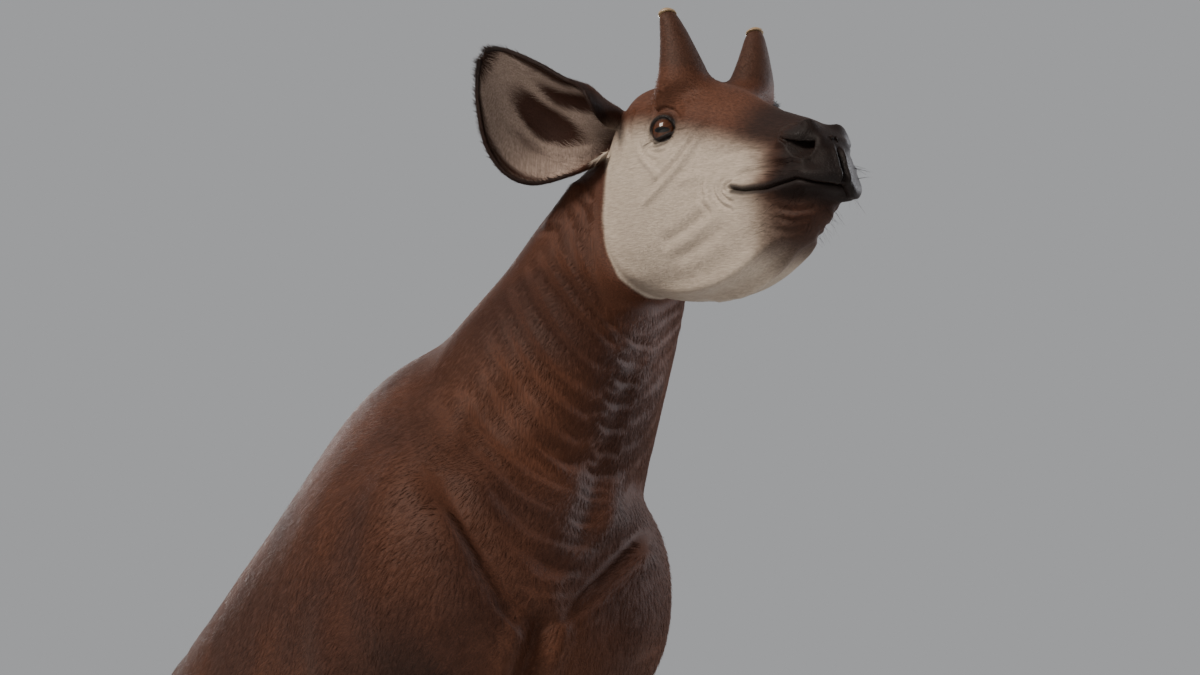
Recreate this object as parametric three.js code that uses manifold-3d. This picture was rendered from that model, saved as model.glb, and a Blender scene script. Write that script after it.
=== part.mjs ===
// A standing adult male okapi, life size, with its head raised and its neck bent a little to its left.
// Millimetres. x runs to the animal's left, y to its rear and z up.
import * as THREE from "three";
import { mergeVertices } from "three/addons/utils/BufferGeometryUtils.js";
import Module from "manifold-3d";

const wasm = await Module();
wasm.setup();

// Driving dimensions.
const WITHERS = 1500;
const TORSO_HALF_WIDTH = 263;
const KNEE = 520;
const HOCK = 600;
const CORONET = 84;
const FORELEG_X = 138;
const HINDLEG_X = 132;
const FORELEG_Y = { left: -470, right: -440 };
const HINDLEG_Y = { left: 505, right: 540 };
const GAP = 0.3;

// Where the flesh is parted.
const ELBOW_CUT = 850;
const THIGH_CUT = 930;
const KNEE_CUT = KNEE - 50;
const HOCK_CUT = HOCK - 45;

// The foot: two claws side by side, ahead of the leg's own line.
const FOOT_FORWARD = 38;
const CLEFT = 3;

// The tail and its tuft.
const TAIL_ROOT = { y: 640, z: 1240 };
const TUFT_TOP = 905;
const TUFT_LENGTH = 165;
const TUFT_LOCKS = 9;

// The head's own frame: x forward along the skull, y to the left and z up, from the top of the neck.
const POLL = new THREE.Vector3(143, -772, 1737);
const HEAD_YAW = 1;
const HEAD_PITCH = -27;
const HEAD_ROLL = 8;
const HEAD_LENGTH = 494;
const EYE = { x: 113, y: 66, z: 34, radius: 27, opening: [21, 14], outward: [0.62, 0.78, -0.1] };
const NOSTRIL = { x: 424, y: 33, z: -9 };
const MOUTH_CORNER = { x: 296, z: -63 };
const LIP = 3.5;
const GROOVE = 1.6;
const EAR_LENGTH = 250;
const EAR_THICKNESS = 5;

const HIDE = new THREE.MeshStandardMaterial({ color: 0x3a211a, roughness: 0.85 });
const FACE_HIDE = new THREE.MeshStandardMaterial({ color: 0x6b5347, roughness: 0.85 });
const STRIPED_HIDE = new THREE.MeshStandardMaterial({ color: 0x8f857b, roughness: 0.85 });
const PALE_HIDE = new THREE.MeshStandardMaterial({ color: 0xc9bda9, roughness: 0.85 });
const TUFT = new THREE.MeshStandardMaterial({ color: 0x1d1512, roughness: 0.8 });
const HORN = new THREE.MeshStandardMaterial({ color: 0x4b3528, roughness: 0.7 });
const HOOF = new THREE.MeshStandardMaterial({ color: 0x2a2522, roughness: 0.45 });
const EYEBALL = new THREE.MeshStandardMaterial({ color: 0x120a07, roughness: 0.1 });

const SIDES = { left: 1, right: -1 };
const V = (x, y, z) => new THREE.Vector3(x, y, z);
const radians = THREE.MathUtils.degToRad;
const blend = THREE.MathUtils.lerp;

// Solids from closed geometries, and geometries from solids.

function solidOf(geometry) {
  const bare = geometry.clone();
  bare.deleteAttribute("normal");
  bare.deleteAttribute("uv");
  const merged = mergeVertices(bare, 1e-3);
  return new wasm.Manifold(
    new wasm.Mesh({
      numProp: 3,
      vertProperties: new Float32Array(merged.attributes.position.array),
      triVerts: new Uint32Array(merged.index.array),
    }),
  );
}

function largest(solid) {
  const pieces = solid.decompose();
  return pieces.reduce((a, b) => (b.volume() > a.volume() ? b : a));
}

function geometryOf(solid) {
  const { numProp, numVert, vertProperties, triVerts } = largest(solid).getMesh();
  const positions = new Float32Array(numVert * 3);
  for (let i = 0; i < numVert; i++)
    positions.set(vertProperties.subarray(i * numProp, i * numProp + 3), i * 3);
  const geometry = new THREE.BufferGeometry();
  geometry.setAttribute("position", new THREE.BufferAttribute(positions, 3));
  geometry.setIndex(new THREE.BufferAttribute(new Uint32Array(triVerts), 1));
  geometry.computeVertexNormals();
  return geometry;
}

function moved(solid, matrix) {
  const geometry = geometryOf(solid);
  geometry.applyMatrix4(matrix);
  return solidOf(geometry);
}

const joined = (solids) => solids.reduce((a, b) => a.add(b));

// A closed skin over rings of points, smooth through every ring.
function skinOver(rings, steps) {
  const around = rings[0].length;
  const lines = rings[0].map(
    (_, k) => new THREE.CatmullRomCurve3(rings.map((ring) => ring[k]), false, "centripetal"),
  );
  const positions = [];
  const index = [];
  for (let i = 0; i <= steps; i++)
    for (let k = 0; k < around; k++) positions.push(...lines[k].getPoint(i / steps).toArray());
  for (let i = 0; i < steps; i++)
    for (let k = 0; k < around; k++) {
      const a = i * around + k;
      const b = i * around + ((k + 1) % around);
      index.push(a, b, b + around, a, b + around, a + around);
    }
  for (const [row, flip] of [[0, true], [steps, false]]) {
    const pole = positions.length / 3;
    const centre = V(0, 0, 0);
    for (let k = 0; k < around; k++)
      centre.add(V().fromArray(positions, (row * around + k) * 3).divideScalar(around));
    positions.push(...centre.toArray());
    for (let k = 0; k < around; k++) {
      const a = row * around + k;
      const b = row * around + ((k + 1) % around);
      index.push(...(flip ? [pole, b, a] : [pole, a, b]));
    }
  }
  return outward(positions, index);
}

// A solid from points and triangles, turned so that its faces point out.
function outward(positions, index) {
  const geometry = new THREE.BufferGeometry();
  geometry.setAttribute("position", new THREE.Float32BufferAttribute(positions, 3));
  geometry.setIndex(index);
  const solid = solidOf(geometry);
  if (solid.volume() > 0) return solid;
  const turned = [];
  for (let i = 0; i < index.length; i += 3) turned.push(index[i], index[i + 2], index[i + 1]);
  geometry.setIndex(turned);
  return solidOf(geometry);
}

// One ring through a crown, three named widths at their heights and a keel, mirrored.
function section(station, count, place, grow) {
  const { crown, upper, middle, lower, keel } = station;
  const half = [
    [0, crown + grow],
    [upper[0] + grow, upper[1] + grow / 2],
    [middle[0] + grow, middle[1]],
    [lower[0] + grow, lower[1] - grow / 2],
    [0, keel - grow],
  ];
  const outline = [...half, ...half.slice(1, -1).reverse().map(([w, h]) => [-w, h])];
  const points = outline.map(([w, h]) => place(w, h));
  const curve = new THREE.CatmullRomCurve3(points, true, "centripetal");
  return Array.from({ length: count }, (_, k) => curve.getPoint(k / count));
}

// -1 at the first of a row of stations, 1 at the last and 0 between.
const endward = (i, count) => (i === 0 ? -1 : i === count - 1 ? 1 : 0);

// A ring of four radii round a centre, on two directions.
function oval(centre, side, front, [half, fore, aft], count, grow = 0) {
  return Array.from({ length: count }, (_, k) => {
    const angle = (2 * Math.PI * k) / count;
    const along = Math.cos(angle) > 0 ? fore : aft;
    return centre
      .clone()
      .addScaledVector(side, Math.sin(angle) * (half + grow))
      .addScaledVector(front, Math.cos(angle) * (along + grow));
  });
}

// A geometry whose own z is turned to a normal, with its y kept as near upright as it can be.
function facing(geometry, centre, normal, upright = V(0, 0, 1)) {
  const out = normal.clone().normalize();
  const up = upright.clone().addScaledVector(out, -upright.dot(out)).normalize();
  const basis = new THREE.Matrix4().makeBasis(up.clone().cross(out), up, out);
  geometry.applyMatrix4(basis.setPosition(centre));
  return solidOf(geometry);
}

function ellipsoid(centre, radii, normal = V(0, 0, 1), detail = 14) {
  const geometry = new THREE.SphereGeometry(1, detail, Math.round(detail * 0.6));
  geometry.scale(...radii);
  return facing(geometry, centre, normal, Math.abs(normal.z) > 0.9 ? V(0, 1, 0) : V(0, 0, 1));
}

function slab(low, high) {
  const size = V(...high).sub(V(...low));
  const geometry = new THREE.BoxGeometry(size.x, size.y, size.z);
  geometry.translate(...V(...low).add(V(...high)).divideScalar(2).toArray());
  return solidOf(geometry);
}

const FAR = 3000;
const below = (z) => slab([-FAR, -FAR, -FAR], [FAR, FAR, z]);
const above = (z) => slab([-FAR, -FAR, z], [FAR, FAR, FAR]);

// Torso: sections from the front of the chest to the buttocks.
const TORSO = [
  { y: -704, crown: 1118, upper: [26, 1108], middle: [38, 1076], lower: [26, 1044], keel: 1034 },
  { y: -694, crown: 1160, upper: [60, 1140], middle: [84, 1075], lower: [58, 1012], keel: 992 },
  { y: -672, crown: 1240, upper: [112, 1200], middle: [165, 1090], lower: [112, 975], keel: 942 },
  { y: -610, crown: 1370, upper: [140, 1300], middle: [222, 1120], lower: [146, 935], keel: 895 },
  { y: -510, crown: 1512, upper: [148, 1405], middle: [245, 1140], lower: [156, 905], keel: 865 },
  { y: -390, crown: 1574, upper: [152, 1480], middle: [262, 1150], lower: [162, 895], keel: 848 },
  { y: -260, crown: WITHERS + 62, upper: [152, 1478], middle: [263, 1140], lower: [170, 888], keel: 836 },
  { y: -90, crown: 1502, upper: [164, 1410], middle: [TORSO_HALF_WIDTH + 5, 1130], lower: [186, 886], keel: 828 },
  { y: 80, crown: 1454, upper: [170, 1368], middle: [TORSO_HALF_WIDTH + 7, 1118], lower: [190, 892], keel: 834 },
  { y: 240, crown: 1436, upper: [158, 1352], middle: [TORSO_HALF_WIDTH - 1, 1125], lower: [174, 930], keel: 866 },
  { y: 390, crown: 1424, upper: [152, 1342], middle: [240, 1150], lower: [142, 986], keel: 922 },
  { y: 520, crown: 1378, upper: [126, 1300], middle: [208, 1150], lower: [120, 1030], keel: 974 },
  { y: 610, crown: 1304, upper: [86, 1242], middle: [152, 1150], lower: [92, 1060], keel: 1020 },
  { y: 655, crown: 1222, upper: [46, 1190], middle: [72, 1140], lower: [46, 1090], keel: 1068 },
  { y: 664, crown: 1180, upper: [20, 1166], middle: [30, 1142], lower: [20, 1118], keel: 1106 },
];
const SHOULDER_POINT = { x: 165, y: -560, z: 1110, radii: [80, 95, 170] };

function torsoForm(grow = 0) {
  const rings = TORSO.map((s, i) => {
    const y = s.y + grow * endward(i, TORSO.length);
    return section(s, 26, (w, h) => V(w, y, h), grow);
  });
  const barrel = skinOver(rings, 23);
  const { x, y, z, radii } = SHOULDER_POINT;
  const points = Object.values(SIDES).map((side) =>
    ellipsoid(V(side * x, y, z), radii.map((r) => r + grow)),
  );
  return joined([barrel, ...points]);
}

// Neck: sections along its spine, each leaning back with it and turning a little to the left.
const NECK = [
  { at: [8, -370, 1190], dorsal: 350, ventral: 290, half: 214 },
  { at: [35, -457, 1322], dorsal: 290, ventral: 243, half: 204 },
  { at: [77, -517, 1462], dorsal: 218, ventral: 202, half: 175 },
  { at: [134, -530, 1600], dorsal: 172, ventral: 164, half: 150 },
  { at: [149, -582, 1690], dorsal: 116, ventral: 154, half: 129 },
  { at: [147, -662, 1742], dorsal: 84, ventral: 130, half: 98 },
  { at: [146, -744, 1756], dorsal: 58, ventral: 86, half: 72 },
];

function neckForm(grow = 0) {
  const spine = new THREE.CatmullRomCurve3(NECK.map(({ at }) => V(...at)));
  const rings = NECK.map(({ at, dorsal, ventral, half }, i) => {
    const tangent = spine.getTangent(i / (NECK.length - 1));
    const front = V(0, -1, 0).addScaledVector(tangent, tangent.y).normalize();
    const side = front.clone().cross(tangent);
    return oval(V(...at), side, front, [half, ventral, dorsal], 22, grow);
  });
  return skinOver(rings, 12);
}

// Legs: ovals from the flesh of the body down to the coronet.
const FORELEG = [
  { z: 1230, x: -6, y: 10, half: 56, fore: 60, aft: 80 },
  { z: 1160, x: 22, y: 4, half: 76, fore: 104, aft: 116 },
  { z: 1060, x: 34, y: 0, half: 82, fore: 122, aft: 126 },
  { z: 950, x: 22, y: 12, half: 74, fore: 104, aft: 104 },
  { z: 860, x: 10, y: 16, half: 57, fore: 76, aft: 80 },
  { z: 760, x: 5, y: 8, half: 43, fore: 54, aft: 58 },
  { z: 650, x: 2, y: 2, half: 35, fore: 42, aft: 43 },
  { z: KNEE + 50, x: 0, y: 0, half: 36, fore: 42, aft: 36 },
  { z: KNEE, x: 0, y: 0, half: 41, fore: 46, aft: 36 },
  { z: KNEE - 50, x: 0, y: 0, half: 36, fore: 38, aft: 38 },
  { z: 420, x: 0, y: 0, half: 27, fore: 29, aft: 34 },
  { z: 300, x: 0, y: 0, half: 24, fore: 26, aft: 32 },
  { z: 225, x: 0, y: 0, half: 27, fore: 28, aft: 36 },
  { z: 180, x: 0, y: -4, half: 34, fore: 33, aft: 40 },
  { z: 135, x: 0, y: -18, half: 30, fore: 29, aft: 32 },
  { z: CORONET + 12, x: 0, y: -32, half: 36, fore: 36, aft: 34 },
  { z: CORONET - 20, x: 0, y: -FOOT_FORWARD, half: 38, fore: 38, aft: 36 },
];
const HINDLEG = [
  { z: 1330, x: -48, y: -60, half: 60, fore: 60, aft: 70 },
  { z: 1270, x: -8, y: -72, half: 78, fore: 116, aft: 130 },
  { z: 1180, x: 18, y: -84, half: 90, fore: 160, aft: 180 },
  { z: 1060, x: 22, y: -90, half: 86, fore: 168, aft: 170 },
  { z: 950, x: 14, y: -80, half: 70, fore: 142, aft: 134 },
  { z: 860, x: 8, y: -50, half: 56, fore: 108, aft: 98 },
  { z: 770, x: 4, y: -6, half: 45, fore: 80, aft: 66 },
  { z: 690, x: 0, y: 32, half: 37, fore: 60, aft: 50 },
  { z: HOCK + 34, x: 0, y: 52, half: 35, fore: 50, aft: 58 },
  { z: HOCK - 20, x: 0, y: 48, half: 39, fore: 46, aft: 50 },
  { z: 510, x: 0, y: 34, half: 31, fore: 36, aft: 40 },
  { z: 420, x: 0, y: 24, half: 26, fore: 30, aft: 34 },
  { z: 310, x: 0, y: 14, half: 24, fore: 27, aft: 32 },
  { z: 232, x: 0, y: 6, half: 27, fore: 29, aft: 36 },
  { z: 186, x: 0, y: 0, half: 34, fore: 34, aft: 40 },
  { z: 138, x: 0, y: -16, half: 30, fore: 29, aft: 32 },
  { z: CORONET + 12, x: 0, y: -32, half: 36, fore: 36, aft: 34 },
  { z: CORONET - 20, x: 0, y: -FOOT_FORWARD, half: 38, fore: 38, aft: 36 },
];
function legForm(stations, x, y, side, grow = 0) {
  const rings = stations.map((s) =>
    oval(V(side * (x + s.x), y + s.y, s.z), V(1, 0, 0), V(0, -1, 0), [s.half, s.fore, s.aft], 12, grow),
  );
  return skinOver(rings, 26);
}

// A claw: half a cloven hoof, pointed at the toe, on a flat sole.
const CLAW = [
  { z: 0, off: 22, half: 20.5, fore: 70, aft: 42 },
  { z: 6, off: 22, half: 21.5, fore: 71, aft: 44 },
  { z: 42, off: 20, half: 20, fore: 54, aft: 41 },
  { z: CORONET, off: 18.5, half: 18, fore: 37, aft: 35 },
];
function clawForm(x, y, toward) {
  const rings = CLAW.map((s) =>
    oval(V(x + toward * s.off, y - FOOT_FORWARD, s.z), V(1, 0, 0), V(0, -1, 0), [s.half, s.fore, s.aft], 10),
  );
  const inner = x + (toward * CLEFT) / 2;
  const outer = x + toward * FAR;
  return skinOver(rings, 4).intersect(
    slab([Math.min(inner, outer), -FAR, -FAR], [Math.max(inner, outer), FAR, FAR]),
  );
}

// Tail: a tapering rope of flesh, hanging clear of the buttocks.
const TAIL = [
  { y: -30, z: 30, r: 34 },
  { y: 22, z: 4, r: 30 },
  { y: 56, z: -50, r: 25 },
  { y: 74, z: -130, r: 20 },
  { y: 78, z: -230, r: 16 },
  { y: 76, z: -330, r: 12 },
  { y: 72, z: -420, r: 6 },
];
function tailForm() {
  const spine = new THREE.CatmullRomCurve3(TAIL.map((s) => V(0, TAIL_ROOT.y + s.y, TAIL_ROOT.z + s.z)));
  const rings = TAIL.map((s, i) => {
    const tangent = spine.getTangent(i / (TAIL.length - 1));
    const front = V(1, 0, 0).cross(tangent).normalize();
    return oval(spine.points[i], V(1, 0, 0), front, [s.r, s.r, s.r], 12);
  });
  return skinOver(rings, 12);
}

// A lock of hair: flat, bent along its path and tapered to its tip.
function lockForm(path, flatTo, width, thickness) {
  const curve = new THREE.CatmullRomCurve3(path);
  const rings = [0.7, 1, 0.9, 0.55, 0.08].map((share, i, all) => {
    const t = i / (all.length - 1);
    const along = curve.getTangent(t);
    const face = flatTo.clone().addScaledVector(along, -flatTo.dot(along)).normalize();
    const half = [(width * share) / 2, (thickness * share) / 2, (thickness * share) / 2];
    return oval(curve.getPoint(t), face.clone().cross(along), face, half, 6);
  });
  return skinOver(rings, 4);
}

// Tuft: locks round the end of the tail, longer and shorter by turns.
function tuftForm() {
  const y = TAIL_ROOT.y + 75;
  const locks = Array.from({ length: TUFT_LOCKS }, (_, k) => {
    const angle = (2 * Math.PI * k) / TUFT_LOCKS;
    const out = V(Math.cos(angle), Math.sin(angle), 0);
    const length = TUFT_LENGTH * (k % 3 === 0 ? 1 : 0.84 + 0.05 * (k % 2));
    const at = (spread, drop) => V(0, y, TUFT_TOP - drop).addScaledVector(out, spread);
    return lockForm([at(3, 4), at(17, length * 0.35), at(15, length * 0.7), at(5, length)], out, 17, 7);
  });
  return joined([tailForm(), ...locks]).intersect(below(TUFT_TOP - GAP));
}

// Head: sections along the skull in the head's own frame.
const HEAD = [
  { x: -104, crown: 12, upper: [22, 4], middle: [42, -38], lower: [34, -98], keel: -114 },
  { x: -74, crown: 76, upper: [54, 58], middle: [74, -24], lower: [58, -142], keel: -164 },
  { x: 0, crown: 112, upper: [70, 97], middle: [84, 0], lower: [68, -171], keel: -198 },
  { x: 70, crown: 118, upper: [74, 95], middle: [89, 6], lower: [68, -174], keel: -208 },
  { x: 130, crown: 116, upper: [72, 84], middle: [85, 2], lower: [62, -166], keel: -212 },
  { x: 190, crown: 102, upper: [58, 62], middle: [72, -12], lower: [56, -158], keel: -214 },
  { x: 250, crown: 78, upper: [44, 46], middle: [60, -20], lower: [52, -148], keel: -209 },
  { x: 315, crown: 54, upper: [38, 30], middle: [54, -28], lower: [46, -132], keel: -191 },
  { x: 376, crown: 38, upper: [38, 18], middle: [51, -34], lower: [39, -110], keel: -158 },
  { x: 424, crown: 20, upper: [37, 6], middle: [47, -36], lower: [32, -90], keel: -118 },
  { x: 456, crown: -2, upper: [30, -12], middle: [38, -42], lower: [25, -80], keel: -97 },
  { x: HEAD_LENGTH - 24, crown: -20, upper: [20, -28], middle: [28, -47], lower: [17, -70], keel: -78 },
  { x: HEAD_LENGTH - 14, crown: -28, upper: [8, -34], middle: [12, -48], lower: [8, -60], keel: -64 },
];

function headForm(grow = 0) {
  const rings = HEAD.map((s, i) => {
    const x = s.x + grow * endward(i, HEAD.length);
    return section(s, 26, (w, h) => V(x, w, h), grow);
  });
  return skinOver(rings, 24);
}

const HEAD_TURN = new THREE.Matrix4()
  .makeTranslation(POLL.x, POLL.y, POLL.z)
  .multiply(new THREE.Matrix4().makeRotationZ(radians(HEAD_YAW)))
  .multiply(new THREE.Matrix4().makeBasis(V(0, -1, 0), V(1, 0, 0), V(0, 0, 1)))
  .multiply(new THREE.Matrix4().makeRotationY(radians(-HEAD_PITCH)))
  .multiply(new THREE.Matrix4().makeRotationX(radians(HEAD_ROLL)));

// A prism across the head from an outline of [x, z] points.
function acrossHead(outline) {
  const shape = new THREE.Shape(outline.map(([x, z]) => new THREE.Vector2(x, z)));
  const geometry = new THREE.ExtrudeGeometry(shape, { depth: 400, bevelEnabled: false });
  geometry.applyMatrix4(new THREE.Matrix4().makeBasis(V(1, 0, 0), V(0, 0, 1), V(0, -1, 0)));
  geometry.translate(0, 200, 0);
  return solidOf(geometry);
}

// The line between the lips, from past the front of the muzzle back to the corner.
const MOUTH_LINE = [
  [HEAD_LENGTH + 30, MOUTH_CORNER.z + 2],
  [470, MOUTH_CORNER.z + 6],
  [430, MOUTH_CORNER.z + 1],
  [380, MOUTH_CORNER.z - 4],
  [330, MOUTH_CORNER.z - 4],
  [MOUTH_CORNER.x, MOUTH_CORNER.z],
];
const alongMouth = (rise, drop) =>
  acrossHead([
    ...MOUTH_LINE.map(([x, z]) => [x, z + rise]),
    ...MOUTH_LINE.map(([x, z]) => [x, z - drop]).reverse(),
  ]);
const jawRegion = (slip) =>
  acrossHead([
    ...MOUTH_LINE.map(([x, z]) => [x + slip, z - slip]),
    [MOUTH_CORNER.x - 88 + slip, MOUTH_CORNER.z - 180 - slip],
    [HEAD_LENGTH + 30 + slip, MOUTH_CORNER.z - 180 - slip],
  ]);

const mirrored = ([x, y, z], side) => V(x, side * y, z);
const eyeCentre = (side) => mirrored([EYE.x, EYE.y, EYE.z], side);
const eyeOutward = (side) => mirrored(EYE.outward, side).normalize();
const eyeball = (side, grow = 0) =>
  ellipsoid(eyeCentre(side), Array(3).fill(EYE.radius + grow), eyeOutward(side), 16);

// Lids: a rim of flesh round the opening, thicker above, drawn over the ball.
function lidForm(side) {
  const [wide, high] = EYE.opening;
  const rim = new THREE.TorusGeometry(1, 0.24, 6, 16);
  rim.scale(wide + 2, high + 2, 26);
  const seat = eyeCentre(side).addScaledVector(eyeOutward(side), EYE.radius * 0.68);
  const upright = V(-0.12, 0, 1);
  return facing(rim, seat, eyeOutward(side), upright);
}

function eyeOpening(side) {
  const [wide, high] = EYE.opening;
  const seat = eyeCentre(side).addScaledVector(eyeOutward(side), EYE.radius + 6);
  return ellipsoid(seat, [wide, high, 16], eyeOutward(side), 12);
}

// Nostril: a slanted slit under a raised wing.
const nostrilWing = (side) =>
  ellipsoid(V(NOSTRIL.x, side * (NOSTRIL.y - 6), NOSTRIL.z + 15), [14, 26, 13], V(0.3, side, 0.3));
const nostrilCut = (side) =>
  ellipsoid(
    V(NOSTRIL.x + 4, side * (NOSTRIL.y + 4), NOSTRIL.z - 5),
    [24, 8, 16],
    V(0.35, side * 0.9, -0.25),
    12,
  );

function wholeHead() {
  const brow = (side) => ellipsoid(mirrored([132, 58, 50], side), [34, 40, 26], V(0.3, side, 0.2));
  const lips = headForm(LIP).intersect(alongMouth(12, 12));
  const sides = Object.values(SIDES);
  const flesh = joined([headForm(), lips, ...sides.map(brow), ...sides.map(nostrilWing)]);
  const opened = flesh.subtract(joined(sides.flatMap((side) => [nostrilCut(side), eyeOpening(side)])));
  const lidded = joined([opened, ...sides.map(lidForm)]);
  const groove = alongMouth(GROOVE, GROOVE).subtract(headForm(-7));
  return lidded.subtract(joined([...sides.map((side) => eyeball(side, GAP)), groove]));
}

// Ossicones: skin-covered horns, leaning back and a little outwards.
const OSSICONE = [
  { at: [122, 48, 80], r: 54 },
  { at: [123, 54, 100], r: 45 },
  { at: [121, 59, 125], r: 36.5 },
  { at: [113, 65, 155], r: 28 },
  { at: [103, 70, 182], r: 21.5 },
  { at: [94, 74, 201], r: 17 },
  { at: [89, 76, 211], r: 13 },
  { at: [86, 77, 217], r: 6 },
];
function ossiconeForm(side) {
  const rings = OSSICONE.map(({ at, r }) =>
    oval(mirrored(at, side), V(0, 1, 0), V(0.93, 0, 0.36), [r, r, r], 12),
  );
  return skinOver(rings, 10);
}

// Ears: a leaf of cartilage rolled into a tube at its root and opening to a cup.
// Each station gives the leaf's middle and half width, and how far each edge curls round.
const EAR = [
  { u: 0, middle: 2, half: 36, front: 165, rear: 150 },
  { u: 0.12, middle: -24, half: 62, front: 148, rear: 95 },
  { u: 0.28, middle: -51, half: 84, front: 112, rear: 70 },
  { u: 0.46, middle: -60, half: 88, front: 78, rear: 66 },
  { u: 0.66, middle: -52, half: 78, front: 66, rear: 62 },
  { u: 0.84, middle: -34, half: 54, front: 56, rear: 56 },
  { u: 0.95, middle: -20, half: 29, front: 50, rear: 50 },
  { u: 1, middle: -14, half: 9, front: 46, rear: 46 },
];
const EAR_ROOT = [-34, 76, 34];
const EAR_ALONG = [-0.42, 0.76, 0.5];
const EAR_FACING = [0.86, 0.45, -0.2];

function earForm(side) {
  const across = 13;
  const steps = 11;
  const root = mirrored(EAR_ROOT, side);
  const along = mirrored(EAR_ALONG, side).normalize();
  const front = mirrored(EAR_FACING, side);
  front.addScaledVector(along, -front.dot(along)).normalize();
  const edgeward = along.clone().cross(front).multiplyScalar(-side);
  const ring = (station, thick) => {
    const radius = station.half / Math.sin(radians(Math.min(90, station.rear)));
    return Array.from({ length: across + 1 }, (_, k) => {
      const v = (2 * k) / across - 1;
      const turn = radians(v > 0 ? station.front : station.rear) * v;
      const rim = radius * Math.cos(radians(station.rear));
      return root
        .clone()
        .addScaledVector(along, EAR_LENGTH * station.u)
        .addScaledVector(edgeward, station.middle + Math.sin(turn) * (radius + thick))
        .addScaledVector(front, rim - Math.cos(turn) * (radius + thick));
    });
  };
  const positions = [];
  const index = [];
  for (const thick of [EAR_THICKNESS / 2, -EAR_THICKNESS / 2]) {
    const rings = EAR.map((station) => ring(station, thick));
    const lines = rings[0].map(
      (_, k) => new THREE.CatmullRomCurve3(rings.map((r) => r[k]), false, "centripetal"),
    );
    for (let i = 0; i <= steps; i++) for (const line of lines) positions.push(...line.getPoint(i / steps).toArray());
  }
  const row = across + 1;
  const inner = (steps + 1) * row;
  const quad = (a, b, c, d) => index.push(a, b, c, a, c, d);
  for (let i = 0; i < steps; i++)
    for (let k = 0; k < across; k++) {
      const a = i * row + k;
      quad(a, a + row, a + row + 1, a + 1);
      index.push(inner + a, inner + a + row + 1, inner + a + row, inner + a, inner + a + 1, inner + a + row + 1);
    }
  for (let i = 0; i < steps; i++) {
    const a = i * row;
    const b = i * row + across;
    quad(a, inner + a, inner + a + row, a + row);
    quad(b, b + row, inner + b + row, inner + b);
  }
  for (let k = 0; k < across; k++) {
    const b = steps * row + k;
    quad(k, k + 1, inner + k + 1, inner + k);
    quad(b, inner + b, inner + b + 1, b + 1);
  }
  return outward(positions, index);
}

// The animal, part by part.

const okapi = new THREE.Group();
const headGroup = new THREE.Group();
HEAD_TURN.decompose(headGroup.position, headGroup.quaternion, headGroup.scale);
okapi.add(headGroup);

function add(group, name, solid, material) {
  const mesh = new THREE.Mesh(geometryOf(solid), material);
  mesh.name = name;
  group.add(mesh);
}

const toHead = HEAD_TURN.clone().invert();
const torsoGrown = torsoForm(GAP);
const headGrown = headForm(GAP);
const headInBody = moved(headGrown, HEAD_TURN);
const neckInHead = moved(neckForm(GAP), toHead);

const trunk = [torsoForm()];
for (const [word, side] of Object.entries(SIDES)) {
  const fore = legForm(FORELEG, FORELEG_X, FORELEG_Y[word], side);
  const hind = legForm(HINDLEG, HINDLEG_X, HINDLEG_Y[word], side);
  trunk.push(fore.intersect(above(ELBOW_CUT + GAP)), hind.intersect(above(THIGH_CUT + GAP)));
  const stretch = (leg, top, bottom) => leg.intersect(below(top)).intersect(above(bottom + GAP)).subtract(torsoGrown);
  add(okapi, "foreleg_upper_" + word, stretch(fore, ELBOW_CUT, KNEE_CUT), STRIPED_HIDE);
  add(okapi, "foreleg_lower_" + word, stretch(fore, KNEE_CUT, CORONET), PALE_HIDE);
  add(okapi, "hindleg_upper_" + word, stretch(hind, THIGH_CUT, HOCK_CUT), STRIPED_HIDE);
  add(okapi, "hindleg_lower_" + word, stretch(hind, HOCK_CUT, CORONET), PALE_HIDE);
  for (const [claw, toward] of [["outer", side], ["inner", -side]]) {
    add(okapi, `hoof_fore_${word}_${claw}`, clawForm(side * FORELEG_X, FORELEG_Y[word], toward), HOOF);
    add(okapi, `hoof_hind_${word}_${claw}`, clawForm(side * HINDLEG_X, HINDLEG_Y[word], toward), HOOF);
  }
  add(headGroup, "ear_" + word, earForm(side).subtract(joined([headGrown, neckInHead])), HIDE);
  add(headGroup, "ossicone_" + word, ossiconeForm(side).subtract(headGrown), HORN);
  add(headGroup, "eye_" + word, eyeball(side), EYEBALL);
}
const torso = joined(trunk);
add(okapi, "torso", torso, HIDE);
add(okapi, "neck", neckForm().subtract(joined([torsoGrown, headInBody])), HIDE);
add(okapi, "tail", tailForm().intersect(above(TUFT_TOP)).subtract(torsoGrown), HIDE);
add(okapi, "tail_tuft", tuftForm(), TUFT);

const head = wholeHead();
add(headGroup, "head", head.subtract(jawRegion(0)), FACE_HIDE);
add(headGroup, "lower_jaw", head.intersect(jawRegion(GAP)), PALE_HIDE);

// The origin is put under the middle of the animal, on the ground.
const bounds = new THREE.Box3().setFromObject(okapi, true);
const middle = bounds.getCenter(V(0, 0, 0));
okapi.position.set(-middle.x, -middle.y, -bounds.min.z);

export default okapi;
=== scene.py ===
"""A life-size standing okapi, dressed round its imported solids.

The skin is one mesh, grown from the solids of the flesh, smoothed, and then worked
over with strokes: lids, nostrils, lips, the rings of the windpipe and the folds of
the neck. The ears grow from it; eyes, hooves, horn tips and hair are their own pieces.
"""

import logging
import math
from contextlib import contextmanager
from dataclasses import dataclass, replace
from enum import Enum
from typing import Callable, Iterator, Sequence

import bmesh
import bpy
import numpy as np
from mathutils import Matrix, Vector
from mathutils.bvhtree import BVHTree


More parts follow.
